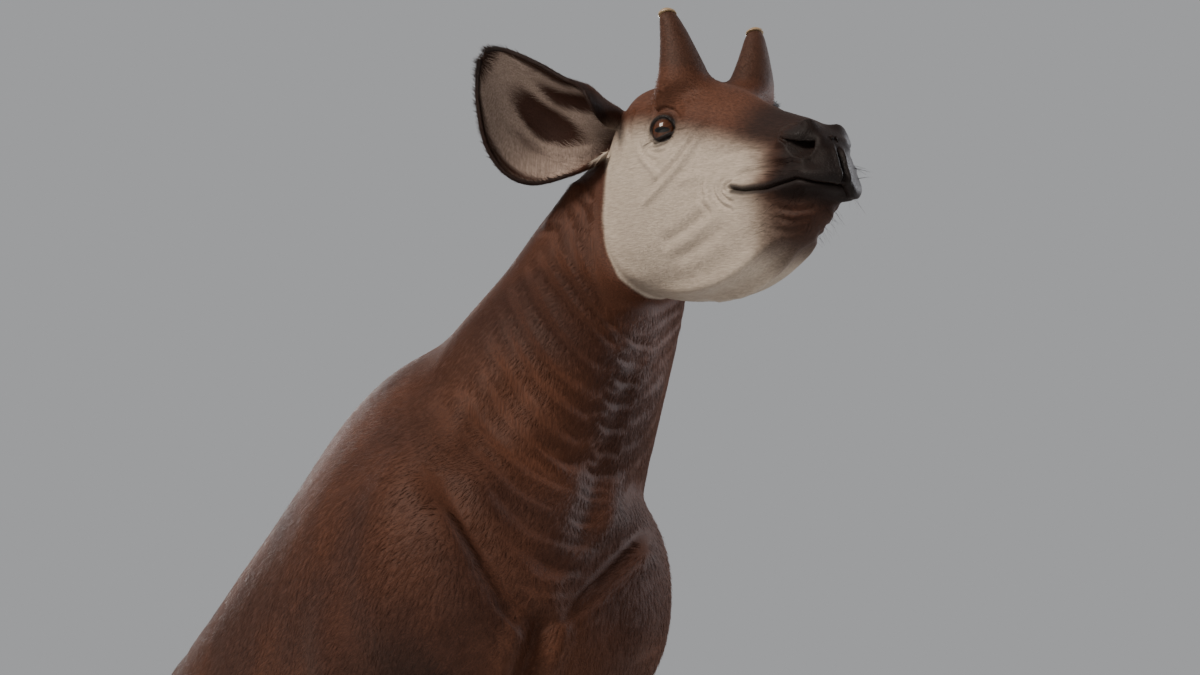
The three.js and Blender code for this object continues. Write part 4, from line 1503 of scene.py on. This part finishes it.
@dataclass(frozen=True)
class EyeSurface:
    """A wet eyeball: a dark brown iris round a wide level pupil, under a clear cornea, in mm."""

    name: str = "wet_eyeball"
    white: str = "4a3a32"
    iris: str = "2c1509"
    iris_light: str = "4a2812"
    rim: str = "120805"
    pupil: str = "030303"
    fibre: float = 0.075
    reach: float = 17.5
    blur: float = 3
    pupil_edge: tuple[float, float] = (4.6, 4.0)
    squeeze: Triple = (0.36, 1.0, 0.0)

    def build(self) -> Material:
        """Makes the material, which reads each point's place on the ball in mm."""
        s = Shader(self.name)
        place = s.add("Attribute", {}, {"attribute_name": "eye_place"}, "Vector")
        split = s.add("SeparateXYZ", {"Vector": place}).node.outputs
        flat = s.add("CombineXYZ", {"X": split["X"], "Y": split["Y"]})
        reach = s.add("VectorMath", {0: flat}, LENGTH, "Value")
        squeezed = s.add("VectorMath", {0: flat, 1: self.squeeze}, TIMES)
        oval = s.add("VectorMath", {0: squeezed}, LENGTH, "Value")
        ray = s.add("VectorMath", {0: flat}, NORMALIZE)
        spokes = s.add("TexNoise", {"Vector": ray, "Scale": 1 / self.fibre, "Detail": 4.0})
        colour = linear(self.iris)
        for value, low, high, code in (
            (spokes, 0.3, 0.7, self.iris_light), (reach, self.reach - self.blur, self.reach, self.rim),
            (reach, self.reach, self.reach + self.blur, self.white), (oval, *self.pupil_edge, self.pupil),
        ):
            share = s.add("MapRange", {"Value": value, "From Min": low, "From Max": high}, SMOOTH)
            colour = s.add("Mix", {MIX_FACTOR: share, MIX_A: colour, MIX_B: linear(code)}, MIX, MIX_OUT)
        shell = s.add("BsdfPrincipled", {
            "Base Color": colour, "Roughness": 0.4, "IOR": 1.376, "Specular IOR Level": 0.1,
            "Coat Weight": 1.0, "Coat IOR": 1.34, "Coat Roughness": 0.02,
        })
        s.add("OutputMaterial", {"Surface": shell})
        return s.material


@dataclass
class Eyeball:
    """An eyeball with its cornea standing a little proud, in mm."""

    word: str
    cornea: float = 2.2
    cornea_reach: float = 18.0

    def build(self) -> Piece:
        """Makes the ball."""
        centre, *axes = Eye().axes(SIDES[self.word])
        bm = bmesh.new()
        bmesh.ops.create_uvsphere(bm, u_segments=64, v_segments=40, radius=Eye().radius)
        local = np.array([vert.co[:] for vert in bm.verts])
        reach = np.hypot(local[:, 0], local[:, 1])
        local[:, 2] += self.cornea * np.clip(1 - (reach / self.cornea_reach) ** 2, 0, 1) * (local[:, 2] > 0)
        place_verts(bm, by_matrix(HEAD, centre + local @ np.stack(axes)))
        bmesh.ops.recalc_face_normals(bm, faces=bm.faces)
        piece = object_of("eyeball_" + self.word, mesh_of("eyeball", bm))
        put(piece.data.attributes.new("eye_place", "FLOAT_VECTOR", "POINT").data, "vector", local)
        return piece


@dataclass(frozen=True)
class HoofHorn:
    """Hoof horn: smooth dark keratin with growth rings 5 mm apart, dusty and worn pale at its lower edge."""

    name: str = "hoof_keratin"
    dark: str = "1f1a17"
    worn: str = "4d443b"
    ring: float = 5.0
    dust: float = 20
    worn_to: float = 30

    def build(self) -> Material:
        """Makes the material."""
        s = Shader(self.name)
        place = s.add("TexCoord", out="Object")
        height = s.add("SeparateXYZ", {"Vector": place}, out="Z")
        blur = s.add("TexNoise", {"Vector": place, "Scale": 1 / (self.dust * MM), "Detail": 4.0})
        level = s.add("Math", {0: height, 1: 1 / (self.ring * MM), 2: blur}, TIMES_PLUS)
        rings = s.add("Math", {0: level, 1: 0.5}, PINGPONG)
        wear = {"Value": height, "From Min": 0.0, "From Max": self.worn_to * MM, "To Min": 0.9, "To Max": 0.1}
        wear = s.add("Math", {0: s.add("MapRange", wear), 1: blur}, TIMES)
        colour = {MIX_FACTOR: wear, MIX_A: linear(self.dark), MIX_B: linear(self.worn)}
        shell = s.add("BsdfPrincipled", {
            "Base Color": s.add("Mix", colour, MIX, MIX_OUT),
            "Roughness": s.add("MapRange", {"Value": blur, "To Min": 0.3, "To Max": 0.55}),
            "Normal": s.add("Bump", {"Height": rings, "Strength": 0.5, "Distance": 0.8 * MM}, out="Normal"),
            "IOR": 1.55,
        })
        s.add("OutputMaterial", {"Surface": shell})
        return s.material


@dataclass(frozen=True)
class WornBone:
    """The bare tip of a horn: ivory-brown bone, polished by rubbing, with pits 2.5 mm apart."""

    name: str = "worn_horn_tip"
    pale: str = "a58d6c"
    dark: str = "5a4430"
    cloud: float = 7
    pit: float = 2.5

    def build(self) -> Material:
        """Makes the material."""
        s = Shader(self.name)
        place = s.add("TexCoord", out="Object")
        cloud = s.add("TexNoise", {"Vector": place, "Scale": 1 / (self.cloud * MM), "Detail": 4.0})
        pits = s.add("TexVoronoi", {"Vector": place, "Scale": 1 / (self.pit * MM)})
        colour = {MIX_FACTOR: cloud, MIX_A: linear(self.dark), MIX_B: linear(self.pale)}
        shell = s.add("BsdfPrincipled", {
            "Base Color": s.add("Mix", colour, MIX, MIX_OUT), "Roughness": 0.34, "IOR": 1.55,
            "Normal": s.add("Bump", {"Height": pits, "Strength": 0.3, "Distance": 0.4 * MM}, out="Normal"),
        })
        s.add("OutputMaterial", {"Surface": shell})
        return s.material


def loft(
    name: str, around: int, count: int, place: Callable[[int, Vector], Vector], levels: int
) -> Piece:
    """A closed, rounded piece through rings.

    Args:
        name: Its name.
        around: How many points each ring has.
        count: How many rings there are.
        place: Where a point of the unit circle goes on the ring of a number.
        levels: How many times it is subdivided.

    Returns:
        The piece.
    """
    bm = bmesh.new()
    loops = []
    for k in range(count):
        loops.append(bmesh.ops.create_circle(bm, segments=around, radius=1.0)["verts"])
        for vert in loops[-1]:
            vert.co = place(k, vert.co)
    for low, high in zip(loops, loops[1:]):
        edges = {e for ring in (low, high) for v in ring for e in v.link_edges if e.other_vert(v) in ring}
        bmesh.ops.bridge_loops(bm, edges=list(edges))
    for ring in (loops[0], loops[-1]):
        bmesh.ops.contextual_create(bm, geom=ring)
    bmesh.ops.recalc_face_normals(bm, faces=bm.faces)
    piece = object_of(name, mesh_of(name, bm))
    with_modifier(piece, "SUBSURF", levels=levels, render_levels=levels)
    piece.data.shade_smooth()
    return piece


@dataclass
class HornTip:
    """The cap of bare bone at the end of a horn, just proud of the skin, in mm and degrees."""

    word: str
    around: int = 28
    rows: int = 12
    proud: float = 0.9
    tuck: float = 2.5
    start: float = 0.80
    lean: float = -22

    def build(self) -> Piece:
        """Makes the cap."""
        line = through(Horn().stations, 60)
        rows = line[int(self.start * len(line)) :]
        rows = rows[:: max(1, len(rows) // self.rows)]
        turn = Matrix.Rotation(math.radians(self.lean), 3, "Y")

        def place(k: int, at: Vector) -> Vector:
            """Where a point of the unit circle goes on a ring."""
            x, y, z, radius = rows[k]
            radius *= 1 + 0.04 * math.sin(k * 1.9)
            spot = turn @ (at * (radius + self.proud - self.tuck * max(0.0, 1 - k / 2)))
            return HEAD @ Vector((x + spot.x, SIDES[self.word] * y + spot.y, z + spot.z))

        return loft("horn_tip_" + self.word, self.around, len(rows), place, 1)


@dataclass
class Claw:
    """Half of a cloven hoof: a rounded wall, a pointed toe and a flat sole, in mm.

    Attributes:
        stations: Its level sections, as (height, place out from the cleft, half width, reach to the
            front and reach to the back).
        toe: How far the leg's middle lies behind the toe.
    """

    node: str
    stations: Table = (
        (0.4, 22, 19.8, 68.5, 41), (3, 22, 20.9, 70.2, 43), (8, 22, 21.2, 69.8, 43.6),
        (42, 20, 19.8, 53.6, 40.6), (70, 18.8, 18.2, 42, 37), (84, 18.5, 17.6, 36.6, 34.6),
    )
    around: int = 40
    toe: float = 71
    half_gap: float = 1.5
    cleft: float = 0.32

    def build(self) -> Piece:
        """Makes the claw round its solid."""
        low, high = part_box(self.node)
        toward = 1 if self.node.endswith("outer") == ("left" in self.node) else -1
        inner = low.x if toward > 0 else high.x
        leg_x, leg_y = inner - toward * self.half_gap * MM, low.y + self.toe * MM
        gap = inner + toward * self.cleft * MM

        def place(k: int, at: Vector) -> Vector:
            """Where a point of the unit circle goes on a section."""
            z, off, half, fore, aft = self.stations[k]
            taper = 1 - 0.2 * max(0.0, -at.y) ** 3 * (fore / 70)
            x = leg_x + (toward * off + at.x * half * taper) * MM
            x = max(x, gap) if toward > 0 else min(x, gap)
            return Vector((x, leg_y + at.y * (fore if at.y < 0 else aft) * MM, z * MM))

        return loft("claw_" + self.node.removeprefix("hoof_"), self.around, len(self.stations), place, 2)


@dataclass(frozen=True)
class Growth:
    """The tufts of one region: their length and width, in mm, and how far each tip rises, as a share."""

    piece: str
    length: float
    width: float
    lift: float
    count: int


@dataclass
class Strands:
    """Closed, pointed slips of hair, built all at once from lists of roots.

    Each has its root, its way, the way off the skin, its length and width in metres, and how far its tip
    rises, and all have the same number of rings below the tip and the same sag, as a share of the length.
    """

    roots: Rows
    ways: Rows
    normals: Rows
    lengths: Rows
    widths: Rows
    lifts: Rows
    rings: int = 1
    sag: float = 0.0

    SUNK = 0.5 * MM
    THICK = 0.13
    PATCH = 0.003
    SOFT = 0.82

    @property
    def owner(self) -> Rows:
        """Which strand each point of the mesh belongs to."""
        return np.repeat(np.arange(len(self.roots)), 3 * self.rings + 1)

    def points(self) -> Rows:
        """The mesh's points, strand by strand, each from root to tip."""
        across = np.cross(self.normals, self.ways)
        rows = []
        for ring in range(self.rings + 1):
            share = ring / self.rings
            rise = self.lifts * self.lengths * share**1.3 - self.SUNK * (1 - share)
            middle = self.roots + self.ways * (self.lengths * share)[:, None] + self.normals * rise[:, None]
            middle[:, 2] -= self.sag * self.lengths * share**2
            half = (0.5 * self.widths * (1 - share) ** 0.55)[:, None]
            top = middle + self.normals * self.THICK * 2 * half
            corners = np.stack([middle - across * half, middle + across * half, top], 1)
            rows.append(corners if ring < self.rings else middle[:, None])
        return np.concatenate(rows, 1).reshape(-1, 3)

    def faces(self) -> Rows:
        """The corners of the mesh's triangles, one triangle a row."""
        one = [(0, 2, 1)]
        for base in range(0, 3 * self.rings, 3):
            for a, b in ((base, base + 1), (base + 1, base + 2), (base + 2, base)):
                last = base == 3 * (self.rings - 1)
                one += [(a, b, 3 * self.rings)] if last else [(a, b, a + 3), (b, b + 3, a + 3)]
        starts = np.arange(len(self.roots)) * (3 * self.rings + 1)
        return (starts[:, None, None] + np.array(one)[None]).reshape(-1, 3)

    def build(self, name: str, places: Rows, tones: Rows) -> Piece:
        """Makes the mesh with its unwrap, its tones and soft shading.

        Args:
            name: The piece's name.
            places: The roots' places on the unwrap, round each of which its tuft has a small patch.
            tones: How light each strand is, from 0 to 1.

        Returns:
            The piece.
        """
        points, faces = self.points(), self.faces()
        mesh = bpy.data.meshes.new(name)
        mesh.vertices.add(len(points))
        put(mesh.vertices, "co", points)
        mesh.loops.add(faces.size)
        put(mesh.loops, "vertex_index", faces, np.int32)
        mesh.polygons.add(len(faces))
        put(mesh.polygons, "loop_start", np.arange(0, faces.size, 3), np.int32)
        mesh.update()
        spots = [(x, ring / self.rings) for ring in range(self.rings) for x in (0.0, 1.0, 0.5)]
        spots = np.array(spots + [(0.5, 1.0)])
        patches = (places[:, None] + (spots[None] - 0.5) * self.PATCH).reshape(-1, 2)
        put(mesh.uv_layers.new(name="OFBake").data, "uv", patches[faces.ravel()])
        mesh.shade_smooth()
        soft = self.SOFT * self.normals[self.owner] + (1 - self.SOFT) * self.ways[self.owner]
        mesh.normals_split_custom_set_from_vertices(unit(soft).tolist())
        set_field(mesh, "tone", tones[self.owner])
        # Each point's place from root to tip, which the hair's material reads to paint shade at the root.
        set_field(mesh, "tip", np.tile(spots[:, 1], len(self.roots)))
        return object_of(name, mesh)


class Region(Enum):
    """The parts of the coat, each one piece, and how the hair of each grows."""

    HEAD = Growth("coat_head", 7.5, 1.15, 0.07, 48_000)
    NECK = Growth("coat_neck", 14, 1.9, 0.07, 48_000)
    SHOULDERS = Growth("coat_shoulders", 18, 2.5, 0.06, 48_000)
    RUMP = Growth("coat_rump", 18, 2.5, 0.06, 48_000)
    FORELEGS = Growth("coat_forelegs", 12, 2.0, 0.07, 40_000)
    HINDLEGS = Growth("coat_hindlegs", 12, 2.0, 0.07, 47_000)
    EARS = Growth("coat_ears", 11, 1.3, 0.10, 24_000)


@dataclass
class Coat:
    """The hair over all of the skin, region by region.

    A tuft strays from its way by `jitter`, in degrees, and by `swirl`, in radians, with the coat's two waves.
    """

    skin: Mesh
    marks: Markings
    seed: int = 7
    jitter: float = 11
    swirl: float = 0.22
    waves: Table = ((31.0, 23.0, 17.0), (-13.0, 19.0, 37.0))

    def __post_init__(self) -> None:
        """Measures the skin's triangles."""
        self.random = np.random.default_rng(self.seed)
        self.points, self.normals = points_of(self.skin), normals_of(self.skin)
        self.triangles = triangles_of(self.skin)
        a, b, c = (self.points[self.triangles[:, k]] for k in range(3))
        self.areas = 0.5 * np.linalg.norm(np.cross(b - a, c - a), axis=1)
        self.parts = Parts(self.points[self.triangles].mean(1))
        self.bare, self.inner, self.ear = (
            rows_of(self.skin.attributes[name].data, "value", 1)[:, 0].astype(float)[self.triangles].mean(1)
            for name in ("bare", "inner", "ear")
        )

    def density(self, region: Region) -> Rows:
        """How thickly each of the skin's triangles is set with a region's tufts.

        Args:
            region: The region.

        Returns:
            A share from 0 up, for each triangle.
        """
        parts = self.parts
        _, y, z = parts.model.T
        hx, hy, hz = parts.local.T
        in_ear = self.ear > 0.5
        on_head = (parts.head > 0.5) & ~in_ear
        on_neck = (parts.neck > 0.5) & ~on_head & ~in_ear
        on_leg = (parts.leg > 0.5) & ~in_ear
        match region:
            case Region.EARS:
                return np.where(in_ear, 1.0 - 0.7 * self.inner, 0.0)
            case Region.HEAD:
                eye = Eye().centre
                out = np.abs(hy) - eye[1] - 16
                by_eye = np.sqrt((hx - eye[0] - 12) ** 2 + out**2 + (hz - eye[2]) ** 2)
                slit = np.abs(hz - Mouth().height(hx)) + 60 * ease(300, 280, hx)
                keep = ease(0.55, 0.2, self.bare) * ease(22, 30, by_eye) * ease(3, 7, slit)
                fine = 1 + 1.6 * ease(200, 400, hx) + 1.5 * ease(50, 30, by_eye)
                return on_head * keep * fine * ease(202, 192, hz + 0.4 * hx - 34)
            case Region.NECK:
                return on_neck * 1.0
            case Region.FORELEGS | Region.HINDLEGS:
                here = (y < 0) == (region is Region.FORELEGS)
                return (on_leg & here) * (1 + 1.2 * ease(600, 200, z)) * ease(88, 96, z)
            case _:
                here = (y < 60) == (region is Region.SHOULDERS)
                return (~on_head & ~on_neck & ~on_leg & ~in_ear & here) * 1.0

    def lie(self, normals: Rows, parts: Parts, on_ear: Rows) -> Rows:
        """Which way the hair lies at each root.

        Args:
            normals: The skin's directions there.
            parts: Which part of the animal each root is on.
            on_ear: How far each is on an ear, from 0 to 1.

        Returns:
            Directions along the skin, one a row.
        """
        z = parts.model[:, 2]
        _, hy, hz = parts.local.T
        one, left = np.ones(len(z)), np.sign(hy)
        way = np.stack([0 * one, one, -0.12 - 0.5 * ease(1450, 1050, z)], 1)
        face = np.stack([-one, 0.25 * left * ease(0, 60, hz), 0.25 - 0.75 * ease(40, -120, hz)], 1)
        horn = np.stack([-0.25 * one, 0.2 * left, one], 1)
        forward, out, up = Ear("left").lengthwise
        leaf = np.stack([forward * one, out * left, up * one], 1)
        leg = np.array((0.0, 0.16, -1.0))
        for share, toward in (
            (parts.neck, np.array((-0.22, 0.6, -0.8))), (parts.leg, leg), (parts.tail, leg),
            (parts.head, face @ HEAD_TURN.T), (parts.horn, horn @ HEAD_TURN.T), (on_ear, leaf @ HEAD_TURN.T),
        ):
            way = way * (1 - share[:, None]) + toward * share[:, None]
        return unit(way - normals * (way * normals).sum(1)[:, None])

    def sizes(self, growth: Growth, parts: Parts, inner: Rows) -> tuple[Rows, ...]:
        """How long and wide each tuft is and how far it rises.

        Args:
            growth: The region's usual tuft.
            parts: Which part of the animal each root is on.
            inner: How far each is on the hollow side of an ear.

        Returns:
            Lengths and widths in mm, and lifts as a share of the length.
        """
        x, y, z = parts.model.T
        hx, _, hz = parts.local.T
        count = len(x)
        scale = 1 - 0.55 * parts.head * ease(180, 400, hx) - 0.25 * parts.head * ease(60, 20, hx)
        scale *= 1 - 0.45 * parts.leg * ease(620, 160, z)
        left, back = neck_middle(z)
        nape = parts.neck * ease(40, 0, np.abs(x - left)) * (y > back + 40)
        belly = ease(990, 900, z) * ease(0.5, 0.1, parts.leg) * (np.abs(y) < 560)
        fetlock = parts.leg * ease(215, 190, z) * ease(130, 150, z) * (y > np.where(y < 0, -405, 575))
        thigh = ease(620, 680, y) * ease(1250, 1150, z) * ease(600, 700, z)
        horn_foot = parts.head * ease(60, 75, hz) * ease(120, 100, hz) * ease(66, 54, parts.horn_gap)
        scale *= 1 + 0.6 * nape + 0.45 * belly + 0.9 * fetlock + 0.35 * thigh + 0.7 * horn_foot + 1.1 * inner
        lift = growth.lift * (1 + 0.9 * nape + 0.8 * belly + 0.9 * fetlock + 0.8 * horn_foot + 1.6 * inner)
        length = growth.length * scale * (0.75 + 0.5 * self.random.random(count))
        width = growth.width * np.sqrt(np.clip(scale, 0.3, 1.4)) * (0.8 + 0.4 * self.random.random(count))
        return length, width * (1 - 0.55 * inner), lift * (0.6 + 0.8 * self.random.random(count))

    def unwrap(self, region: Region, parts: Parts) -> Rows:
        """Where each root lies on its region's unwrap: around it one way and along it the other.

        Args:
            region: The region.
            parts: Which part of the animal each root is on.

        Returns:
            Places from 0 to 1, one a row.
        """
        x, y, z = parts.model.T
        hx, hy, hz = parts.local.T
        half = np.zeros(len(x))
        match region:
            case Region.HEAD:
                around, along = (hy, hz - 10), (hx + 80) / 600
            case Region.NECK:
                left, back = neck_middle(z)
                around, along = (x - left, y - back), (-0.55 * (y + 300) + 0.83 * (z - 1100)) / 950
            case Region.FORELEGS | Region.HINDLEGS:
                half = np.sign(x)
                around, along = (np.abs(x) - 130, y - (-440 if region is Region.FORELEGS else 560)), z / 1100
            case Region.EARS:
                half = np.sign(hy)
                out = np.abs(hy) - 76
                around, along = (hx + 40 + 0.55 * out, hz - 40 - 0.6 * out), (out + 60) / 330
            case _:
                around, along = (x, z - 1200), (y + 760) / 1560
        turn = np.arctan2(*around) / math.tau
        turn = np.where(half == 0, turn, turn / 2 - 0.25 * half)
        return np.clip(np.stack([turn + 0.5, along], 1), 0.01, 0.99)

    def grow(self, region: Region) -> Piece:
        """Grows the tufts of one region, with the random draws in a fixed order.

        Args:
            region: The region.

        Returns:
            The piece.
        """
        growth, count = region.value, region.value.count
        room = np.cumsum(self.density(region) * self.areas)
        picks = (np.arange(count) + self.random.random(count)) / count * room[-1]
        chosen = np.minimum(np.searchsorted(room, picks), len(room) - 1)
        a, b = self.random.random((2, count))
        over = a + b > 1
        a, b = np.where(over, 1 - a, a), np.where(over, 1 - b, b)
        shares = np.stack([1 - a - b, a, b], 1)[:, :, None]
        corners = self.triangles[chosen]
        roots = (self.points[corners] * shares).sum(1)
        normals = unit((self.normals[corners] * shares).sum(1))
        parts = Parts(roots)
        ways = self.lie(normals, parts, self.ear[chosen])
        stray = math.radians(self.jitter) * self.random.normal(size=count)
        first, second = (np.sin(roots @ np.array(wave)) for wave in self.waves)
        stray = (stray + self.swirl * first * second)[:, None]
        ways = ways * np.cos(stray) + np.cross(normals, ways) * np.sin(stray)
        lengths, widths, lifts = self.sizes(growth, parts, self.inner[chosen] * (region is Region.EARS))
        strands = Strands(roots, ways, normals, lengths * MM, widths * MM, lifts)
        tones = np.clip(0.5 + 0.13 * self.random.normal(size=count), 0, 1)
        piece = strands.build(growth.piece, self.unwrap(region, parts), tones)
        self.marks.mark(piece.data, roots, strands.owner)
        return piece


@dataclass
class TailTuft:
    """The brush of long dark hair at the end of the tail, in mm."""

    count: int = 900
    length: float = 250
    width: float = 4.2
    core: tuple[float, float] = (11, 6)
    seed: int = 11

    def build(self) -> Piece:
        """Makes the brush round the solids that stand for it."""
        low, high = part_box("tail_tuft")
        draw = np.random.default_rng(self.seed)
        middle = (low + high) / 2
        level = draw.random(self.count)
        angle = math.tau * draw.random(self.count)
        heights = high.z - (high.z - low.z) * (0.06 + 0.42 * level)
        radius = (self.core[0] + self.core[1] * np.sin(math.pi * level)) * MM
        outward = np.stack([np.cos(angle), np.sin(angle), 0 * angle], 1)
        roots = np.stack([middle.x + 0 * angle, middle.y + 0 * angle, heights], 1) + outward * radius[:, None]
        reach = np.minimum(self.length * MM * (0.7 + 0.4 * draw.random(self.count)), heights - low.z)
        ways = unit(outward * 0.10 + np.array([0, 0, -1.0]) + 0.05 * draw.normal(size=(self.count, 3)))
        normals = unit(outward - ways * (outward * ways).sum(1)[:, None])
        widths = self.width * MM * (0.7 + 0.6 * draw.random(self.count))
        strands = Strands(roots, ways, normals, reach, widths, 0.03 * draw.normal(size=self.count), 4)
        places = np.stack([angle / math.tau * 0.96 + 0.02, 0.02 + 0.96 * level], 1)
        tones = np.clip(0.5 + 0.2 * draw.normal(size=self.count), 0, 1)
        piece = strands.build("coat_tail_tuft", places, tones)
        for name in ("dark", "upright"):
            set_field(piece.data, name, np.full(len(strands.owner), 0.92))
        return piece


@dataclass
class Lashes:
    """The lashes of both eyes: long and downturned on the upper lid, sparse on the lower one, in mm."""

    upper: int = 34
    lower: int = 16
    length: float = 15
    width: float = 0.75

    def build(self) -> Piece:
        """Makes the lashes of both eyes as one piece."""
        eye = Eye()
        lids = ((eye.upper_lid, self.upper, 0.25, 1.0), (eye.lower_lid, self.lower, -0.5, 0.5))
        rows, lengths, places = [], [], []
        for side in SIDES.values():
            centre, forward, up, out = eye.axes(side)
            for lid, count, rise, scale in lids:
                for k, (ahead, above) in enumerate(through(lid, count)[2:-2]):
                    edge = forward * ahead + up * (above + np.sign(rise) * 1.0)
                    depth = math.sqrt(max((eye.radius + 2.0) ** 2 - edge @ edge, 0.0))
                    way = unit(0.75 * out + up * rise + forward * (0.02 * ahead + 0.06 * math.sin(5.0 * k)))
                    rows.append((centre + edge + out * depth, way, unit(up - way * (up @ way))))
                    lengths.append(self.length * MM * scale * (0.8 + 0.2 * math.sin(3.0 * k)))
                    places.append((0.25 + 0.2 * side + ahead / 300, 0.5 + above / 100))
        count = len(rows)
        roots, ways, normals = np.array(rows).transpose(1, 0, 2)
        strands = Strands(
            by_matrix(HEAD, roots), ways @ HEAD_TURN.T, normals @ HEAD_TURN.T, np.array(lengths),
            np.full(count, self.width * MM), np.zeros(count), 3, 0.22,
        )
        piece = strands.build("lashes", np.array(places), np.full(count, 0.3))
        set_field(piece.data, "dark", np.ones(len(strands.owner)))
        return piece


@dataclass
class Whiskers:
    """The few stiff feelers on the lips and the chin, in mm."""

    count: int = 90
    length: float = 24
    width: float = 0.7
    seed: int = 5

    def build(self, skin: Mesh) -> Piece:
        """Makes the whiskers.

        Args:
            skin: The finished skin.

        Returns:
            The whiskers.
        """
        points, normals = points_of(skin), normals_of(skin)
        hx, hy, hz = in_head(points).T
        rise = hz - Mouth().height(hx)
        upper = (rise > 9) & (rise < 32) & (hx > 390) & (hx < 470)
        chin = (rise < -12) & (rise > -62) & (hx > 350) & (hx < 470)
        draw = np.random.default_rng(self.seed)
        chosen = draw.choice(np.nonzero((upper | chin) & (np.abs(hz) < 150))[0], self.count, replace=False)
        back = HEAD_TURN @ np.array([-0.35, 0, -0.3])
        ways = unit(normals[chosen] + back + 0.12 * draw.normal(size=(self.count, 3)))
        side = unit(np.cross(ways, np.array([0.3, 0.2, 1.0])))
        lengths = self.length * MM * (0.5 + 0.7 * draw.random(self.count))
        widths = np.full(self.count, self.width * MM)
        strands = Strands(points[chosen], ways, side, lengths, widths, np.zeros(self.count), 3, 0.14)
        places = np.stack([0.5 + hy[chosen] / 200, 0.5 + hz[chosen] / 400], 1)
        piece = strands.build("whiskers", places, np.full(self.count, 0.4))
        set_field(piece.data, "dark", np.full(len(strands.owner), 0.9))
        return piece


@dataclass(frozen=True)
class Lamp:
    """A square soft light, in metres and watts."""

    place: Triple
    aim: Triple
    size: float
    power: float
    colour: str = "ffffff"

    def build(self) -> None:
        """Hangs the lamp."""
        data = bpy.data.lights.new("softbox", "AREA")
        data.size, data.energy, data.color = self.size, self.power, linear(self.colour)[:3]
        lamp = object_of("softbox", data)
        lamp.location = self.place
        lamp.rotation_euler = (Vector(self.aim) - Vector(self.place)).to_track_quat("-Z", "Y").to_euler()


@dataclass(frozen=True)
class Studio:
    """A plain pale floor of matt paint in an even grey room with three soft lights, in metres."""

    floor_size: float = 14
    floor_colour: str = "cfcfcd"
    floor_grain: float = 0.03
    room_colour: str = "a9aaac"
    room_light: float = 0.94
    lamps: tuple[Lamp, ...] = (
        Lamp((-4.5, -1.9, 3.9), (0, -0.8, 1.5), 2.2, 470, "fff6ea"),
        Lamp((3.4, -1.4, 3.2), (0, -0.7, 1.5), 1.9, 150, "f6f8ff"),
        Lamp((0.8, 3.8, 3.4), (0, 0.2, 1.0), 2.6, 240),
    )

    def build(self) -> None:
        """Lays the floor, fills the room with light and hangs the lamps."""
        bm = bmesh.new()
        bmesh.ops.create_grid(bm, x_segments=1, y_segments=1, size=self.floor_size / 2)
        floor = object_of("floor", mesh_of("floor", bm))
        s = Shader("painted_floor")
        place = s.add("TexCoord", out="Object")
        grain = s.add("TexNoise", {"Vector": place, "Scale": 1 / self.floor_grain, "Detail": 3.0})
        gloss = s.add("MapRange", {"Value": grain, "To Min": 0.62, "To Max": 0.78})
        shell = s.add("BsdfPrincipled", {"Base Color": linear(self.floor_colour), "Roughness": gloss})
        s.add("OutputMaterial", {"Surface": shell})
        floor.data.materials.append(s.material)
        world = bpy.context.scene.world = bpy.data.worlds.new("room")
        world.use_nodes = True
        sky = world.node_tree.nodes["Background"].inputs
        sky["Color"].default_value = linear(self.room_colour)
        sky["Strength"].default_value = self.room_light
        for lamp in self.lamps:
            lamp.build()


class Okapi:
    """The whole animal."""

    def __init__(self) -> None:
        """Sets out the ears, which several pieces read, and the markings."""
        self.ears = [Ear(word) for word in SIDES]
        self.marks = Markings(self.ears)

    def settle(self, piece: Piece, finish: Material, slot: str, *nodes: str) -> None:
        """Dresses a piece and fixes it to the body.

        Args:
            piece: The piece.
            finish: Its material.
            slot: Not used.
            *nodes: The solids that it stands for.
        """
        piece.data.materials.clear()
        piece.data.materials.append(finish)
        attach(piece, BODY)
        if nodes:
            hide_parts(*nodes)
        log.info("%s: %d faces", piece.name, len(piece.data.polygons))

    def build_skin(self) -> Mesh:
        """Models the skin and dresses it."""
        skin = Skin()
        piece = skin.gather()
        skin.soften(piece)
        skin.join(piece, self.ears)
        for chosen in (lambda parts: parts.head > 0.9, lambda parts: parts.detail, lambda parts: parts.front):
            skin.refine(piece, chosen)
        surface = Surface(piece)
        Muzzle().shape(surface)
        Mouth().shape(surface)
        for side in SIDES.values():
            Eye().shape(surface, side)
        Nostril().shape(surface)
        Folds().shape(surface)
        skin.thin(piece)
        piece.data.shade_smooth()
        self.marks.mark(piece.data, points_of(piece.data))
        flesh = [name for name in skin.nodes if not name.startswith("eye")]
        self.settle(piece, Hide().build(), "hide", *flesh, *(f"ear_{word}" for word in SIDES))
        return piece.data

    def build_coat(self, skin: Mesh) -> None:
        """Grows the hair.

        Args:
            skin: The finished skin.
        """
        hair = Hide("okapi_tufts", tufted=True).build()
        coat = Coat(skin, self.marks)
        for region in Region:
            self.settle(coat.grow(region), hair, "hide")
        self.settle(TailTuft().build(), hair, "tuft", "tail_tuft")
        self.settle(Lashes().build(), hair, "hide")
        self.settle(Whiskers().build(skin), hair, "hide")

    def build_hard_parts(self) -> None:
        """Models the eyes, the horn tips and the claws."""
        wet, bone, horn = EyeSurface().build(), WornBone().build(), HoofHorn().build()
        for word in SIDES:
            self.settle(Eyeball(word).build(), wet, "eye", f"eye_{word}")
            self.settle(HornTip(word).build(), bone, "horn")
            for leg in ("fore", "hind"):
                for place in ("outer", "inner"):
                    node = f"hoof_{leg}_{word}_{place}"
                    self.settle(Claw(node).build(), horn, "hoof", node)


def main() -> None:
    """Builds the animal and its room."""
    VIEW.build()
    okapi = Okapi()
    okapi.build_coat(okapi.build_skin())
    okapi.build_hard_parts()
    Studio().build()


if __name__ == "__main__":
    main()
